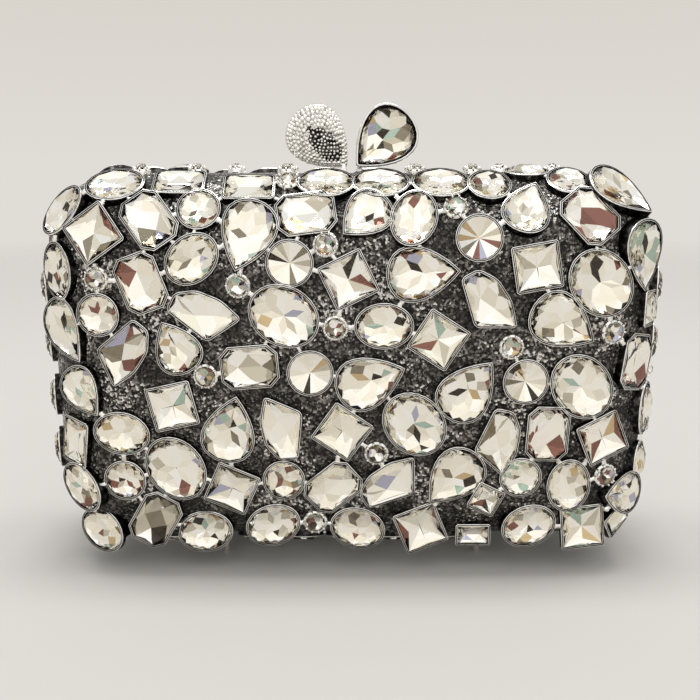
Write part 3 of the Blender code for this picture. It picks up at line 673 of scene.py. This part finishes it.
def cut_fancy(name, corners, table_share, keel_share):
    """A stone with corners: table, crown facets, girdle, back facets and keel, from rings of points."""
    middles = [(Vector(a) + Vector(b)) / 2 for a, b in zip(corners, corners[1:] + corners[:1])]
    rise = table_height - girdle_height
    rings = (
        (corners, table_share, table_height),
        (middles, (1 + table_share) / 2, girdle_height + rise * 0.64),
        (corners, 1.0, girdle_height),
        (middles, 0.66, girdle_height * 0.56),
        (((-1, 0), (1, 0)), keel_share * max(x for x, y in corners), culet_height),
    )
    stone = blank_stone(3)
    shape = bmesh.from_edit_mesh(stone.data)
    for points, share, height in rings:
        for x, y in points:
            shape.verts.new((x * share, y * share, height))
    bmesh.update_edit_mesh(stone.data)
    return close_stone(stone, name)


outline = flat_disc(len(shield_corner_shares), 1, (0, 0, -cup_foot))
for vertex, (u, v) in zip(outline.data.vertices, reversed(shield_corner_shares)):
    vertex.co = Vector((shield_length / 2 * u, shield_width / 2 * v, 0))
finish_piece(outline, "outline")
round_corners(outline, shield_rounding, 3)
cup = raise_cup(finish_piece(outline, "outline"))
shield_corners = [
    (u * (shield_length / 2 - cup_wall), v * (shield_width / 2 - cup_wall)) for u, v in shield_corner_shares
]
stone = cut_fancy("shield_stone", shield_corners, shield_table_share, shield_keel_share)
for stones, half in both_halves(set_stones("shield", cup, stone, shield_seats)):
    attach(stones, half + "_half")
    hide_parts(*[half + "_shield_" + str(k + 1) for k in range(len(shield_seats))])


# Octagons and baguettes. Long pressed crystals with cut corners, a large flat table and a keel along the
# foiled back, each in a four-sided cup whose corners are cut off to suit.
octagon_seats = (
    (-0.62, 0.77, -54), (-0.65, 0.47, -70), (-0.32, 0.05, 5), (-0.14, 0.80, 8), (0.73, 0.79, -50),
    (0.63, -0.31, 88), (-0.06, -0.60, 40), (-0.65, -0.79, 60), (0.91, 0.05, 80),
)
baguette_seats = ((-0.90, -0.38, 80), (-0.54, 0.94, 0), (-0.32, 0.92, 0))
short_baguette_seats = ((0.41, -0.90, 0), (0.89, -0.83, 30), (0.95, 0.32, 90))
keel_share = 0.45


def box_outline(length, width, corner):
    """A flat face in the outline of a four-sided cup, its corners cut off."""
    piece = new_piece(bpy.ops.mesh.primitive_plane_add, size=1, location=(0, 0, -cup_foot))
    piece.scale = (length, width, 1)
    finish_piece(piece, "outline")
    round_corners(piece, corner, 1)
    return finish_piece(piece, "outline")


stone_rows = []
for kind, length, width, corner, table_share, seats in (
    ("octagon", 0.0180, 0.0136, 0.0029, 0.66, octagon_seats),
    ("baguette", 0.0160, 0.0110, 0.0010, 0.70, baguette_seats),
    ("short_baguette", 0.0115, 0.0075, 0.0006, 0.66, short_baguette_seats),
):
    cup = raise_cup(box_outline(length, width, corner))
    half_l, half_w = length / 2 - cup_wall, width / 2 - cup_wall
    quarter = ((half_l, half_w - corner), (half_l - corner, half_w))
    upper = quarter + tuple((-x, y) for x, y in reversed(quarter))
    lower = tuple((-x, -y) for x, y in upper)
    stone = cut_fancy(kind + "_stone", list(upper + lower), table_share, keel_share)
    stone_rows.append(set_stones(kind, cup, stone, seats))
for stones, half in both_halves(join_pieces("front_step_stones", stone_rows)):
    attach(stones, half + "_half")
    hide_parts(half + "_shell")


# Square stones. Pressed crystal with a small table set cornerwise, so that the crown facets make a star
# with four points. Their cups are square, with only the sharp corners taken off.
square_seats = (
    (-0.79, 0.71, 35), (-0.57, -0.16, 13), (-0.39, -0.61, -24), (-0.01, 0.49, 26), (0.27, 0.19, 57),
    (0.57, 0.55, 10), (-0.03, -0.29, 55), (0.81, -0.34, 24), (0.23, -0.84, 22), (0.77, -0.84, 5),
)
small_square_seats = ((0.44, -0.67, -27),)
square_corner, star_table_share, star_point = 0.0006, 0.62, 0.0002


def cut_star(name, side):
    """A stone whose crown facets run from its corners to a small table, from rings of points."""
    half = side / 2 - cup_wall
    middle = girdle_height + (table_height - girdle_height) * 0.55
    levels = (
        (math.pi / 4, half * math.sqrt(2), girdle_height),
        (0.0, half * 0.80, middle),
        (math.pi / 4, half * star_table_share, table_height),
        (0.0, half * star_table_share * 0.55, table_height),
        (0.0, half * 0.62, girdle_height * 0.54),
        (math.pi / 4, star_point, culet_height),
    )
    stone = blank_stone(4, girdle_height)
    for start, radius, height in levels:
        add_ring(4, radius, height, start)
    return close_stone(stone, name, merge=False)


stone_rows = []
for kind, side, seats in (("square", 0.0144, square_seats), ("small_square", 0.0095, small_square_seats)):
    cup = raise_cup(box_outline(side, side, square_corner))
    stone = cut_star(kind + "_stone", side)
    stone_rows.append(set_stones(kind, cup, stone, seats))
for stones, half in both_halves(join_pieces("front_square_stones", stone_rows)):
    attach(stones, half + "_half")
    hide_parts(half + "_shell")


# Rivolis. Flat round crystals, pressed so that their narrow facets all run to a point in the middle, and
# foiled behind. Their cups are like those of the round stones.
rivoli_seats = ((-0.19, 0.57, 0), (0.39, 0.69, 0), (-0.13, 0.02, 0), (0.55, -0.03, 0))
rivoli_size, rivoli_ways = 0.0145, 18
point_radius, point_drop = 0.00005, 0.0003

cup = raise_cup(round_outline(rivoli_size, rivoli_size, cup_sides))
girdle, half = (0, 0, girdle_height), rivoli_size / 2 - cup_wall
stone = new_piece(bpy.ops.mesh.primitive_circle_add, vertices=rivoli_ways, radius=half, location=girdle)
edit_piece(stone)
add_ring(3, point_radius, table_height - point_drop)
add_ring(3, point_radius, culet_height)
close_stone(stone, "rivoli_stone", merge=False)
for stones, half in both_halves(set_stones("rivoli", cup, stone, rivoli_seats)):
    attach(stones, half + "_half")
    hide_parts(half + "_shell")


# Small claw-set stones. Round brilliants between the cups and along the top of the wall, each held by
# a ring of short claws on a low collar.
chaton_seats = (
    (-0.79, 0.49, 0), (-0.35, 0.46, 0), (-0.08, 0.66, 0), (0.32, 0.83, 0), (-0.05, 0.25, 0),
    (-0.46, 0.00, 0), (0.08, -0.41, 0), (0.50, 0.15, 0), (0.82, 0.22, 0), (0.83, -0.55, 0),
    (-0.12, -0.80, 0), (-0.20, 0.95, 0),
)
bead_seats = (
    (-0.68, 1.00, 0), (-0.50, 1.00, 0), (-0.21, 1.00, 0), (0.21, 1.00, 0), (0.39, 1.00, 0),
    (0.997, -0.05, 0), (0.997, -0.38, 0),
)
chaton_size, bead_size, stone_play = 0.0082, 0.0060, 0.0001
collar_sides, collar_lift = 20, 0.0009
collar_steps = ((0.0002, 0.0004), (0.0006, 0.0002), (0.0002, -0.0006))
claw_radius, claw_stretch = 0.00055, (1.25, 0.85, 1.5)
claw_inset, claw_height = 0.0006, 0.00145
bead_table_share, bead_least = 0.55, 0.70


def claw_collar(size, claws):
    """A low collar with a ring of claws bent over a stone."""
    reach = size / 2 - stone_play
    collar = flat_disc(collar_sides, reach, (0, 0, -cup_foot))
    edit_piece(collar)
    choose_all()
    extrude(0, 0, cup_foot + collar_lift)
    for thickness, rise in collar_steps:
        bpy.ops.mesh.inset(thickness=thickness, depth=rise)
    extrude(0, 0, -collar_lift)
    bpy.ops.object.mode_set(mode="OBJECT")
    mark_foot(finish_piece(collar, "collar", 50))
    pieces = [collar]
    for k in range(claws):
        turn = math.tau * k / claws
        away = reach - claw_inset
        claw = new_piece(
            bpy.ops.mesh.primitive_uv_sphere_add, segments=7, ring_count=5, radius=claw_radius,
            location=(away * math.cos(turn), away * math.sin(turn), claw_height), rotation=(0, 0, turn),
        )
        claw.scale = claw_stretch
        pieces.append(finish_piece(claw, "claw", 60))
    join_pieces("collar", pieces)
    give_finish(collar, bright_silver)
    return collar


stone_rows = []
for kind, size, claws, seats, roll in (
    ("chaton", chaton_size, 10, chaton_seats, None),
    ("bead", bead_size, 8, bead_seats, 6.0),
):
    cup = claw_collar(size, claws)
    width = size - stone_play
    stone = cut_brilliant(kind + "_stone", width, width, 6, table_share=bead_table_share)
    stone_rows.append(set_stones(kind, cup, stone, seats, roll, bead_least))
for stones, half in both_halves(join_pieces("front_small_stones", stone_rows)):
    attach(stones, half + "_half")
    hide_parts(half + "_shell")


# Net of cups. The cups and collars are cast together as one net: short drops and dog-bones of silver tie
# each cup to its neighbours. The net is soldered down on the shell.
link_length, link_thickness, link_height = 0.0034, 0.0022, 0.0005
link_overlap, link_gap, link_reach = 0.0004, 0.0019, 0.03
link_bite = 0.0016
thinnest, thickest = 0.75, 1.2
waist_share, waist_squeeze = 0.08, (1, 0.68, 0.75)


def wall_towards(place, walls, target):
    """Where a cup's wall stands on the way to another place."""
    way = place.inverted() @ target
    way.z = 0
    way.normalize()
    step = round(math.atan2(way.y, way.x) / math.tau * wall_steps) % wall_steps
    return place @ (way * walls[step] + Vector((0, 0, link_height)))


link_model = new_piece(
    bpy.ops.mesh.primitive_uv_sphere_add, segments=8, ring_count=8, radius=link_thickness / 2,
    rotation=(0, math.pi / 2, 0),
)
link_model.scale = (1, 1, link_length / link_thickness)
finish_piece(link_model, "link")
edit_piece(link_model)
choose_points(lambda point: abs(point.x) < link_length * waist_share)
bpy.ops.transform.resize(value=waist_squeeze, center_override=(0, 0, 0))
finish_piece(link_model, "link", 80)
give_finish(link_model, bright_silver)
chance = random.Random("links")
for number, (place, walls) in enumerate(cup_places):
    for other, other_walls in cup_places[:number]:
        along = place.translation - other.translation
        start = wall_towards(other, other_walls, place.translation)
        end = wall_towards(place, walls, other.translation)
        gap = (end - start).dot(along.normalized())
        if -link_overlap < gap < link_gap and along.length < link_reach:
            up = (place.col[2] + other.col[2]).to_3d().normalized()
            across = up.cross(along).normalized()
            link_place = Matrix((across.cross(up), across, up)).transposed().to_4x4()
            link_place.translation = (start + end) / 2
            girth = chance.uniform(thinnest, thickest)
            stretch = Matrix.Diagonal(((max(gap, 0) + link_bite) / link_length, girth, girth, 1))
            cup_rows.append(placed_copy(link_model, link_place @ stretch))
front_cups = join_pieces("front_cups", cup_rows)
front_cups.vertex_groups.clear()
drop_models(under_skin, link_model)
for cups, half in both_halves(front_cups):
    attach(cups, half + "_half")
    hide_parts(half + "_shell")


# Rims. A ring of polished metal round the mouth of each shell, its edges eased. The two rings meet when
# the clutch is shut, and carry the hinges and the lock.
rim_thickness, rim_depth, rim_gap = 0.003, 0.0028, 0.0003
rim_easing, rim_corner_steps = 0.0006, 14

polished_silver, shader, add, link = new_finish("polished_silver", Metallic=1.0)
smears = add("ShaderNodeTexNoise", Scale=140.0, Detail=5.0)
rim_tones = ((0.35, (0.66, 0.65, 0.625)), (0.65, (0.88, 0.87, 0.85)))
vary(shader, add, link, smears, tones=rim_tones, glosses=((0.35, 0.26), (0.65, 0.10)))

front_rim_ring = upright_sheet(rim_gap / 2, 0.0, rim_corner_steps)
choose_all()
bpy.ops.mesh.inset(thickness=rim_thickness)
bpy.ops.mesh.delete(type="FACE")
choose_all()
extrude(0, -rim_depth, 0)
face_outwards()
bpy.ops.object.mode_set(mode="OBJECT")
easing = front_rim_ring.modifiers.new("easing", "BEVEL")
easing.width = rim_easing
easing.segments = 3
easing.limit_method = "ANGLE"
easing.angle_limit = math.radians(50)
apply_all(front_rim_ring)
finish_piece(front_rim_ring, "front_rim_ring", 40)
give_finish(front_rim_ring, polished_silver)
for ring, half in both_halves(front_rim_ring):
    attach(ring, half + "_half")
    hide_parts(half + "_rim")


# Linings. Black satin glued over thin card and pressed into each shell, where glue holds it, with its
# edge under the rim. The weave shows only close by.
lining_layer, lining_thickness = 0.0015, 0.0008

black_satin, shader, add, link = new_finish("black_satin", Sheen_Weight=0.35, Sheen_Roughness=0.4)
place = add("ShaderNodeTexCoord")
threads = add("ShaderNodeTexWave", Scale=900.0, Distortion=1.2)
slubs = add("ShaderNodeTexNoise", Scale=260.0, Detail=4.0)
weave = add("ShaderNodeBump", Strength=0.25, Distance=0.00008)
satin_tones = ((0.3, (0.012, 0.012, 0.013)), (0.7, (0.032, 0.032, 0.035)))
vary(shader, add, link, slubs, tones=satin_tones, glosses=((0.3, 0.42), (0.7, 0.30)))
link(place, "Object", threads, "Vector")
link(threads, "Fac", weave, "Height")
link(weave, "Normal", shader, "Normal")

front_satin = pressed_tray("front_satin", lining_layer, lining_thickness)
give_finish(front_satin, black_satin)
for satin, half in both_halves(front_satin):
    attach(satin, half + "_half")
    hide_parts(half + "_lining")


# Petals of the kiss lock. Each is a cast pear cup with a smooth rolled lip, a domed back covered with
# fine granulation, and a short stem soldered to the rim. The two lean apart, and snap past each other.
petal_length, petal_width = 0.0233, 0.0185
petal_tip, petal_lean = Vector((0.0014, 0, 0.1295)), 46.0
petal_edge, petal_dome, petal_wall = 0.0005, 0.0031, 0.0014
petal_sides, petal_ways, petal_table_share, petal_least = 32, 9, 0.60, 0.45
petal_lip = 0.0020
petal_floor_drop = 0.0014
dome_turn, dome_steps = math.radians(82), 7
lip_round = (
    (0.00008, 0.00026, 0), (0.00018, 0.00018, 0), (0.00024, 0.00006, 0), (0.00022, -0.00006, 0),
    (0.00016, -0.00018, 2), (0.00012, -0.00040, 2),
)
grain_pitch, grain_size, grain_flatness = 0.00122, 0.00176, 0.8
grain_jitter, grain_least, grain_most = 0.2, 0.8, 1.15
grain_ring_shares = (0.05, 0.165, 0.28, 0.395, 0.51, 0.625, 0.74, 0.84, 0.915)
painted_reflection_shift, painted_reflection_length, painted_reflection_width, painted_reflection_grain_size = 0.15, 0.60, 0.42, 0.56
stem_easing, stem_settle, stem_taper = 0.0003, 0.0030, (0.5, 0.6, 1)
stem_low, stem_high = Vector((0.0014, 0.00065, 0.1278)), Vector((0.0036, 0.00245, 0.1333))

lean = math.radians(90 - petal_lean)
petal_along, petal_out = Vector((math.cos(lean), 0, math.sin(lean))), Vector((0, -1, 0))
petal_place = Matrix((petal_along, petal_out.cross(petal_along), petal_out)).transposed().to_4x4()
petal_place.translation = petal_tip + petal_along * petal_length / 2
petal_place = petal_place @ Matrix.Rotation(math.pi, 4, "Z")


def is_worn(point):
    """True in the middle of a petal's back, which is painted dark as a painted reflection, where the grains
    are smaller.
    """
    along, across = point.x / (petal_length / 2) - painted_reflection_shift, point.y / (petal_width / 2)
    return math.hypot(along / painted_reflection_length, across / painted_reflection_width) < 1


petal = round_outline(petal_length, petal_width, petal_sides, pear=True)
petal.data.transform(Matrix.Translation((0, 0, cup_foot + petal_edge)))
give_finish(petal, polished_silver, bright_silver, blackened_silver)
edit_piece(petal)
choose_all()
extrude(0, 0, petal_lip)
# The last two steps of the lip and the wall below them, falling to the stone, take the dark finish 2 as
# painted shade.
for thickness, rise, finish in lip_round:
    paint(petal, finish)
    bpy.ops.mesh.inset(thickness=thickness, depth=rise)
extrude(0, 0, -petal_floor_drop)
choose_faces(lambda centre, normal: normal.z < -0.5)
for step in range(dome_steps):
    turn, after = dome_turn * step / dome_steps, dome_turn * (step + 1) / dome_steps
    drop = petal_dome * (math.sin(after) - math.sin(turn))
    extrude(0, 0, -drop)
    share = math.cos(after) / math.cos(turn)
    bpy.ops.transform.resize(value=(share, share, 1), center_override=(0, 0, 0))
# The middle of the back takes the dark finish: a painted dark reflection, with smaller grains so that more of
# it shows.
choose_faces(lambda centre, normal: centre.z < petal_edge * 0.5 and is_worn(centre))
paint(petal, 2)
face_outwards()
finish_piece(petal, "petal", 50)

grain_model = new_piece(bpy.ops.mesh.primitive_uv_sphere_add, segments=6, ring_count=4, radius=grain_size / 2)
finish_piece(grain_model, "grain", 80)
give_finish(grain_model, polished_silver, bright_silver, blackened_silver)
for face in grain_model.data.polygons:
    face.material_index = 1
chance = random.Random("grains")
petal_pieces = [petal]
for share in grain_ring_shares:
    before, travelled = None, grain_pitch
    for step in range(361):
        turn = math.radians(step)
        point = Vector((
            petal_length / 2 * share * math.cos(turn),
            petal_width / 2 * share * math.sin(turn) * pear_taper(turn),
            petal_edge - petal_dome * math.sqrt(1 - share ** 2),
        ))
        travelled += (point - before).length if before else 0.0
        before = point
        if travelled >= grain_pitch:
            travelled = chance.uniform(-grain_jitter, grain_jitter) * grain_pitch
            size = chance.uniform(grain_least, grain_most) * (painted_reflection_grain_size if is_worn(point) else 1)
            shrink = Matrix.Diagonal((size, size, size * grain_flatness, 1))
            petal_pieces.append(placed_copy(grain_model, Matrix.Translation(point) @ shrink))
rear_petal = join_pieces("rear_petal", petal_pieces)
rear_petal.data.transform(petal_place)
drop_models(grain_model)

stem = new_piece(bpy.ops.mesh.primitive_cube_add, size=1, location=(stem_low + stem_high) / 2)
stem.scale = stem_high - stem_low
finish_piece(stem, "stem")
edit_piece(stem)
choose_faces(lambda centre, normal: normal.z > 0.9)
stem_top = Vector(((stem_low.x + stem_high.x) / 2, (stem_low.y + stem_high.y) / 2, stem_high.z))
bpy.ops.transform.resize(value=stem_taper, center_override=stem_top)
bpy.ops.transform.translate(value=(0, 0, -stem_settle))
choose_edges(lambda a, b: True)
bpy.ops.mesh.bevel(offset=stem_easing, segments=3)
finish_piece(stem, "stem", 40)
give_finish(stem, polished_silver)
rear_petal = join_pieces("rear_petal", [rear_petal, stem])
for leaf, half in both_halves(rear_petal):
    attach(leaf, half + "_half")
    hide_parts("clasp_petal_" + half)

petal_stone_lift = 0.0012
spare_wall = 2 * (petal_wall - cup_wall)
rear_petal_stone = cut_brilliant(
    "rear_petal_stone", petal_length - spare_wall, petal_width - spare_wall, petal_ways,
    pear=True, table_share=petal_table_share,
)
rear_petal_stone.data.transform(petal_place @ Matrix.Translation((0, 0, petal_stone_lift)))
number_facets(rear_petal_stone, "rear_petal_stone", petal_least)
for gem, half in both_halves(rear_petal_stone):
    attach(gem, half + "_half")
    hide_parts("clasp_stone_" + half)


# Hinges and lugs. Two hinges under the bottom edge, each a leaf soldered to either rim and a headed pin
# through their knuckles, and a flat eye for a strap inside either end of the rear rim.
for node in sorted(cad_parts):
    if node.startswith(("hinge_leaf", "hinge_pin", "strap_lug")):
        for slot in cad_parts[node].material_slots:
            slot.material = polished_silver if "pin" in node else bright_silver


# Strap rings. Round silver wire bent to a ring through the eye of each lug, where it hangs loose. Its
# ends are brazed together at the bottom.
ring_radius, ring_wire = 0.0045, 0.0006
braze_width, braze_height = 0.0012, 0.00012
lug_x, lug_y, lug_z = 0.0919, 0.00155, 0.094225
for side, side_x in (("left", -1), ("right", 1)):
    lug_hole = Vector((side_x * lug_x, lug_y, lug_z))
    ring = new_piece(
        bpy.ops.mesh.primitive_torus_add,
        location=lug_hole - Vector((0, 0, ring_radius)), rotation=(0, math.pi / 2, 0),
        major_radius=ring_radius, minor_radius=ring_wire, major_segments=48, minor_segments=14,
    )
    finish_piece(ring, "strap_ring")
    edit_piece(ring)
    braze_top = lug_z - 1.5 * ring_radius
    choose_faces(lambda centre, normal: centre.z < braze_top and abs(centre.y - lug_y) < braze_width)
    bpy.ops.transform.shrink_fatten(value=braze_height)
    finish_piece(ring, side + "_wire_ring", 60)
    give_finish(ring, polished_silver)
    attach(ring, "strap_ring_" + side)
    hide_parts("strap_ring_" + side)


# Feet. Four turned silver pegs, each with an eased sole and a collar at its top, soldered under the
# rolled edge, two to a shell.
foot_x, foot_y = 0.04301, 0.010
foot_radius, foot_top, collar_radius, collar_height = 0.0011, 0.00672, 0.0019, 0.0008
foot_easing, foot_slope = 0.0003, 0.0002
sole_share, neck_share = 0.75, 0.85
for half, side_y in (("front", -1), ("rear", 1)):
    for side, side_x in (("left", -1), ("right", 1)):
        spot = (side_x * foot_x, side_y * foot_y, 0)
        peg = flat_disc(24, foot_radius, spot)
        finish_piece(peg, "peg")
        edit_piece(peg)
        choose_all()
        bpy.ops.transform.resize(value=(sole_share, sole_share, 1), center_override=spot)
        for rise, radius_from, radius_to in (
            (foot_easing, foot_radius * sole_share, foot_radius),
            (foot_top - foot_easing - collar_height - foot_slope, foot_radius, foot_radius * neck_share),
            (foot_slope, foot_radius * neck_share, collar_radius),
            (collar_height, collar_radius, collar_radius),
        ):
            extrude(0, 0, rise)
            grow = radius_to / radius_from
            bpy.ops.transform.resize(value=(grow, grow, 1), center_override=spot)
        face_outwards()
        finish_piece(peg, half + "_" + side + "_peg", 35)
        give_finish(peg, bright_silver)
        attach(peg, half + "_half")
        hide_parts("foot_" + half + "_" + side)


# Floor and backdrop. A sheet of matt pale paper, laid flat, that fades into the pale air behind it. Soft
# lamps hang above, and a large window stands in front.
floor_radius = 2.4
floor = flat_disc(64, floor_radius, (0, 0, 0))
floor.name = "floor"
paper, shader, add, link = new_finish("pale_paper", Base_Color=(0.70, 0.682, 0.655, 1), Roughness=0.85)
place = add("ShaderNodeTexCoord")
far = add("ShaderNodeVectorMath", operation="LENGTH")
fade = add("ShaderNodeMapRange", From_Min=0.35, From_Max=1.3)
clear = add("ShaderNodeBsdfTransparent")
edge = add("ShaderNodeMixShader")
link(place, "Object", far, 0)
link(far, "Value", fade, "Value")
link(fade, "Result", edge, "Fac")
link(shader, "BSDF", edge, 1)
link(clear, "BSDF", edge, 2)
link(edge, "Shader", paper.node_tree.nodes["Material Output"], "Surface")
give_finish(floor, paper)

world = bpy.data.worlds.new("studio")
bpy.context.scene.world = world
world.use_nodes = True
tree = world.node_tree
add, link = node_tools(tree)
sky = set_values(tree.nodes["Background"], Color=(1.0, 0.985, 0.955, 1), Strength=0.55)
seen = add("ShaderNodeBackground")
coords = add("ShaderNodeTexCoord")
parts = add("ShaderNodeSeparateXYZ")
depth = add("ShaderNodeMapRange", From_Min=-1.0, From_Max=1.0)
behind = add("ShaderNodeValToRGB")
set_ramp(behind, (
    (0.0, (0.74, 0.72, 0.68)), (0.5, (0.745, 0.72, 0.68)), (0.60, (0.685, 0.655, 0.60)),
    (0.72, 0.78), (0.85, 0.84),
))
rays = add("ShaderNodeLightPath")
shiny = add("ShaderNodeMath", operation="MAXIMUM")
direct = add("ShaderNodeMath", operation="MAXIMUM")
chooser = add("ShaderNodeMixShader")
link(coords, "Generated", parts, "Vector")
link(parts, "Z", depth, "Value")
link(depth, "Result", behind, "Fac")
link(behind, "Color", seen, "Color")
link(rays, "Is Glossy Ray", shiny, 0)
link(rays, "Is Transmission Ray", shiny, 1)
link(rays, "Is Camera Ray", direct, 0)
link(shiny, "Value", direct, 1)
link(direct, "Value", chooser, "Fac")
link(sky, "Background", chooser, 1)
link(seen, "Background", chooser, 2)
link(chooser, "Shader", tree.nodes["World Output"], "Surface")


def add_lamp(name, place, aim, size, watts):
    """A soft square lamp turned towards a point."""
    bpy.ops.object.light_add(type="AREA", location=place)
    lamp = bpy.context.object
    lamp.name = name
    lamp.data.size = size
    lamp.data.energy = watts
    lamp.rotation_euler = (Vector(aim) - Vector(place)).to_track_quat("-Z", "Y").to_euler()


add_lamp("overhead_lamp", (0.0, 0.07, 1.50), (0, 0, 0.03), 0.34, 5.2)
add_lamp("left_lamp", (-0.42, 0.06, 1.40), (0, 0, 0.05), 0.32, 2.8)
add_lamp("right_lamp", (0.42, 0.06, 1.40), (0, 0, 0.05), 0.32, 2.8)
add_lamp("window", (0.0, -1.5, 1.0), (0, 0, 0.05), 3.0, 9.0)

view_point, view_distance, view_angle = Vector((-0.0005, 0, 0.069)), 0.270, math.radians(13.0)
eye = view_point + view_distance * Vector((0, -math.cos(view_angle), math.sin(view_angle)))
bpy.ops.object.camera_add(location=eye)
camera = bpy.context.object
camera.rotation_euler = (view_point - eye).to_track_quat("-Z", "Y").to_euler()
camera.data.sensor_width = 36
camera.data.lens = 41.04
camera.data.clip_start = 0.01
bpy.context.scene.camera = camera
bpy.context.scene.view_settings.view_transform = "Standard"
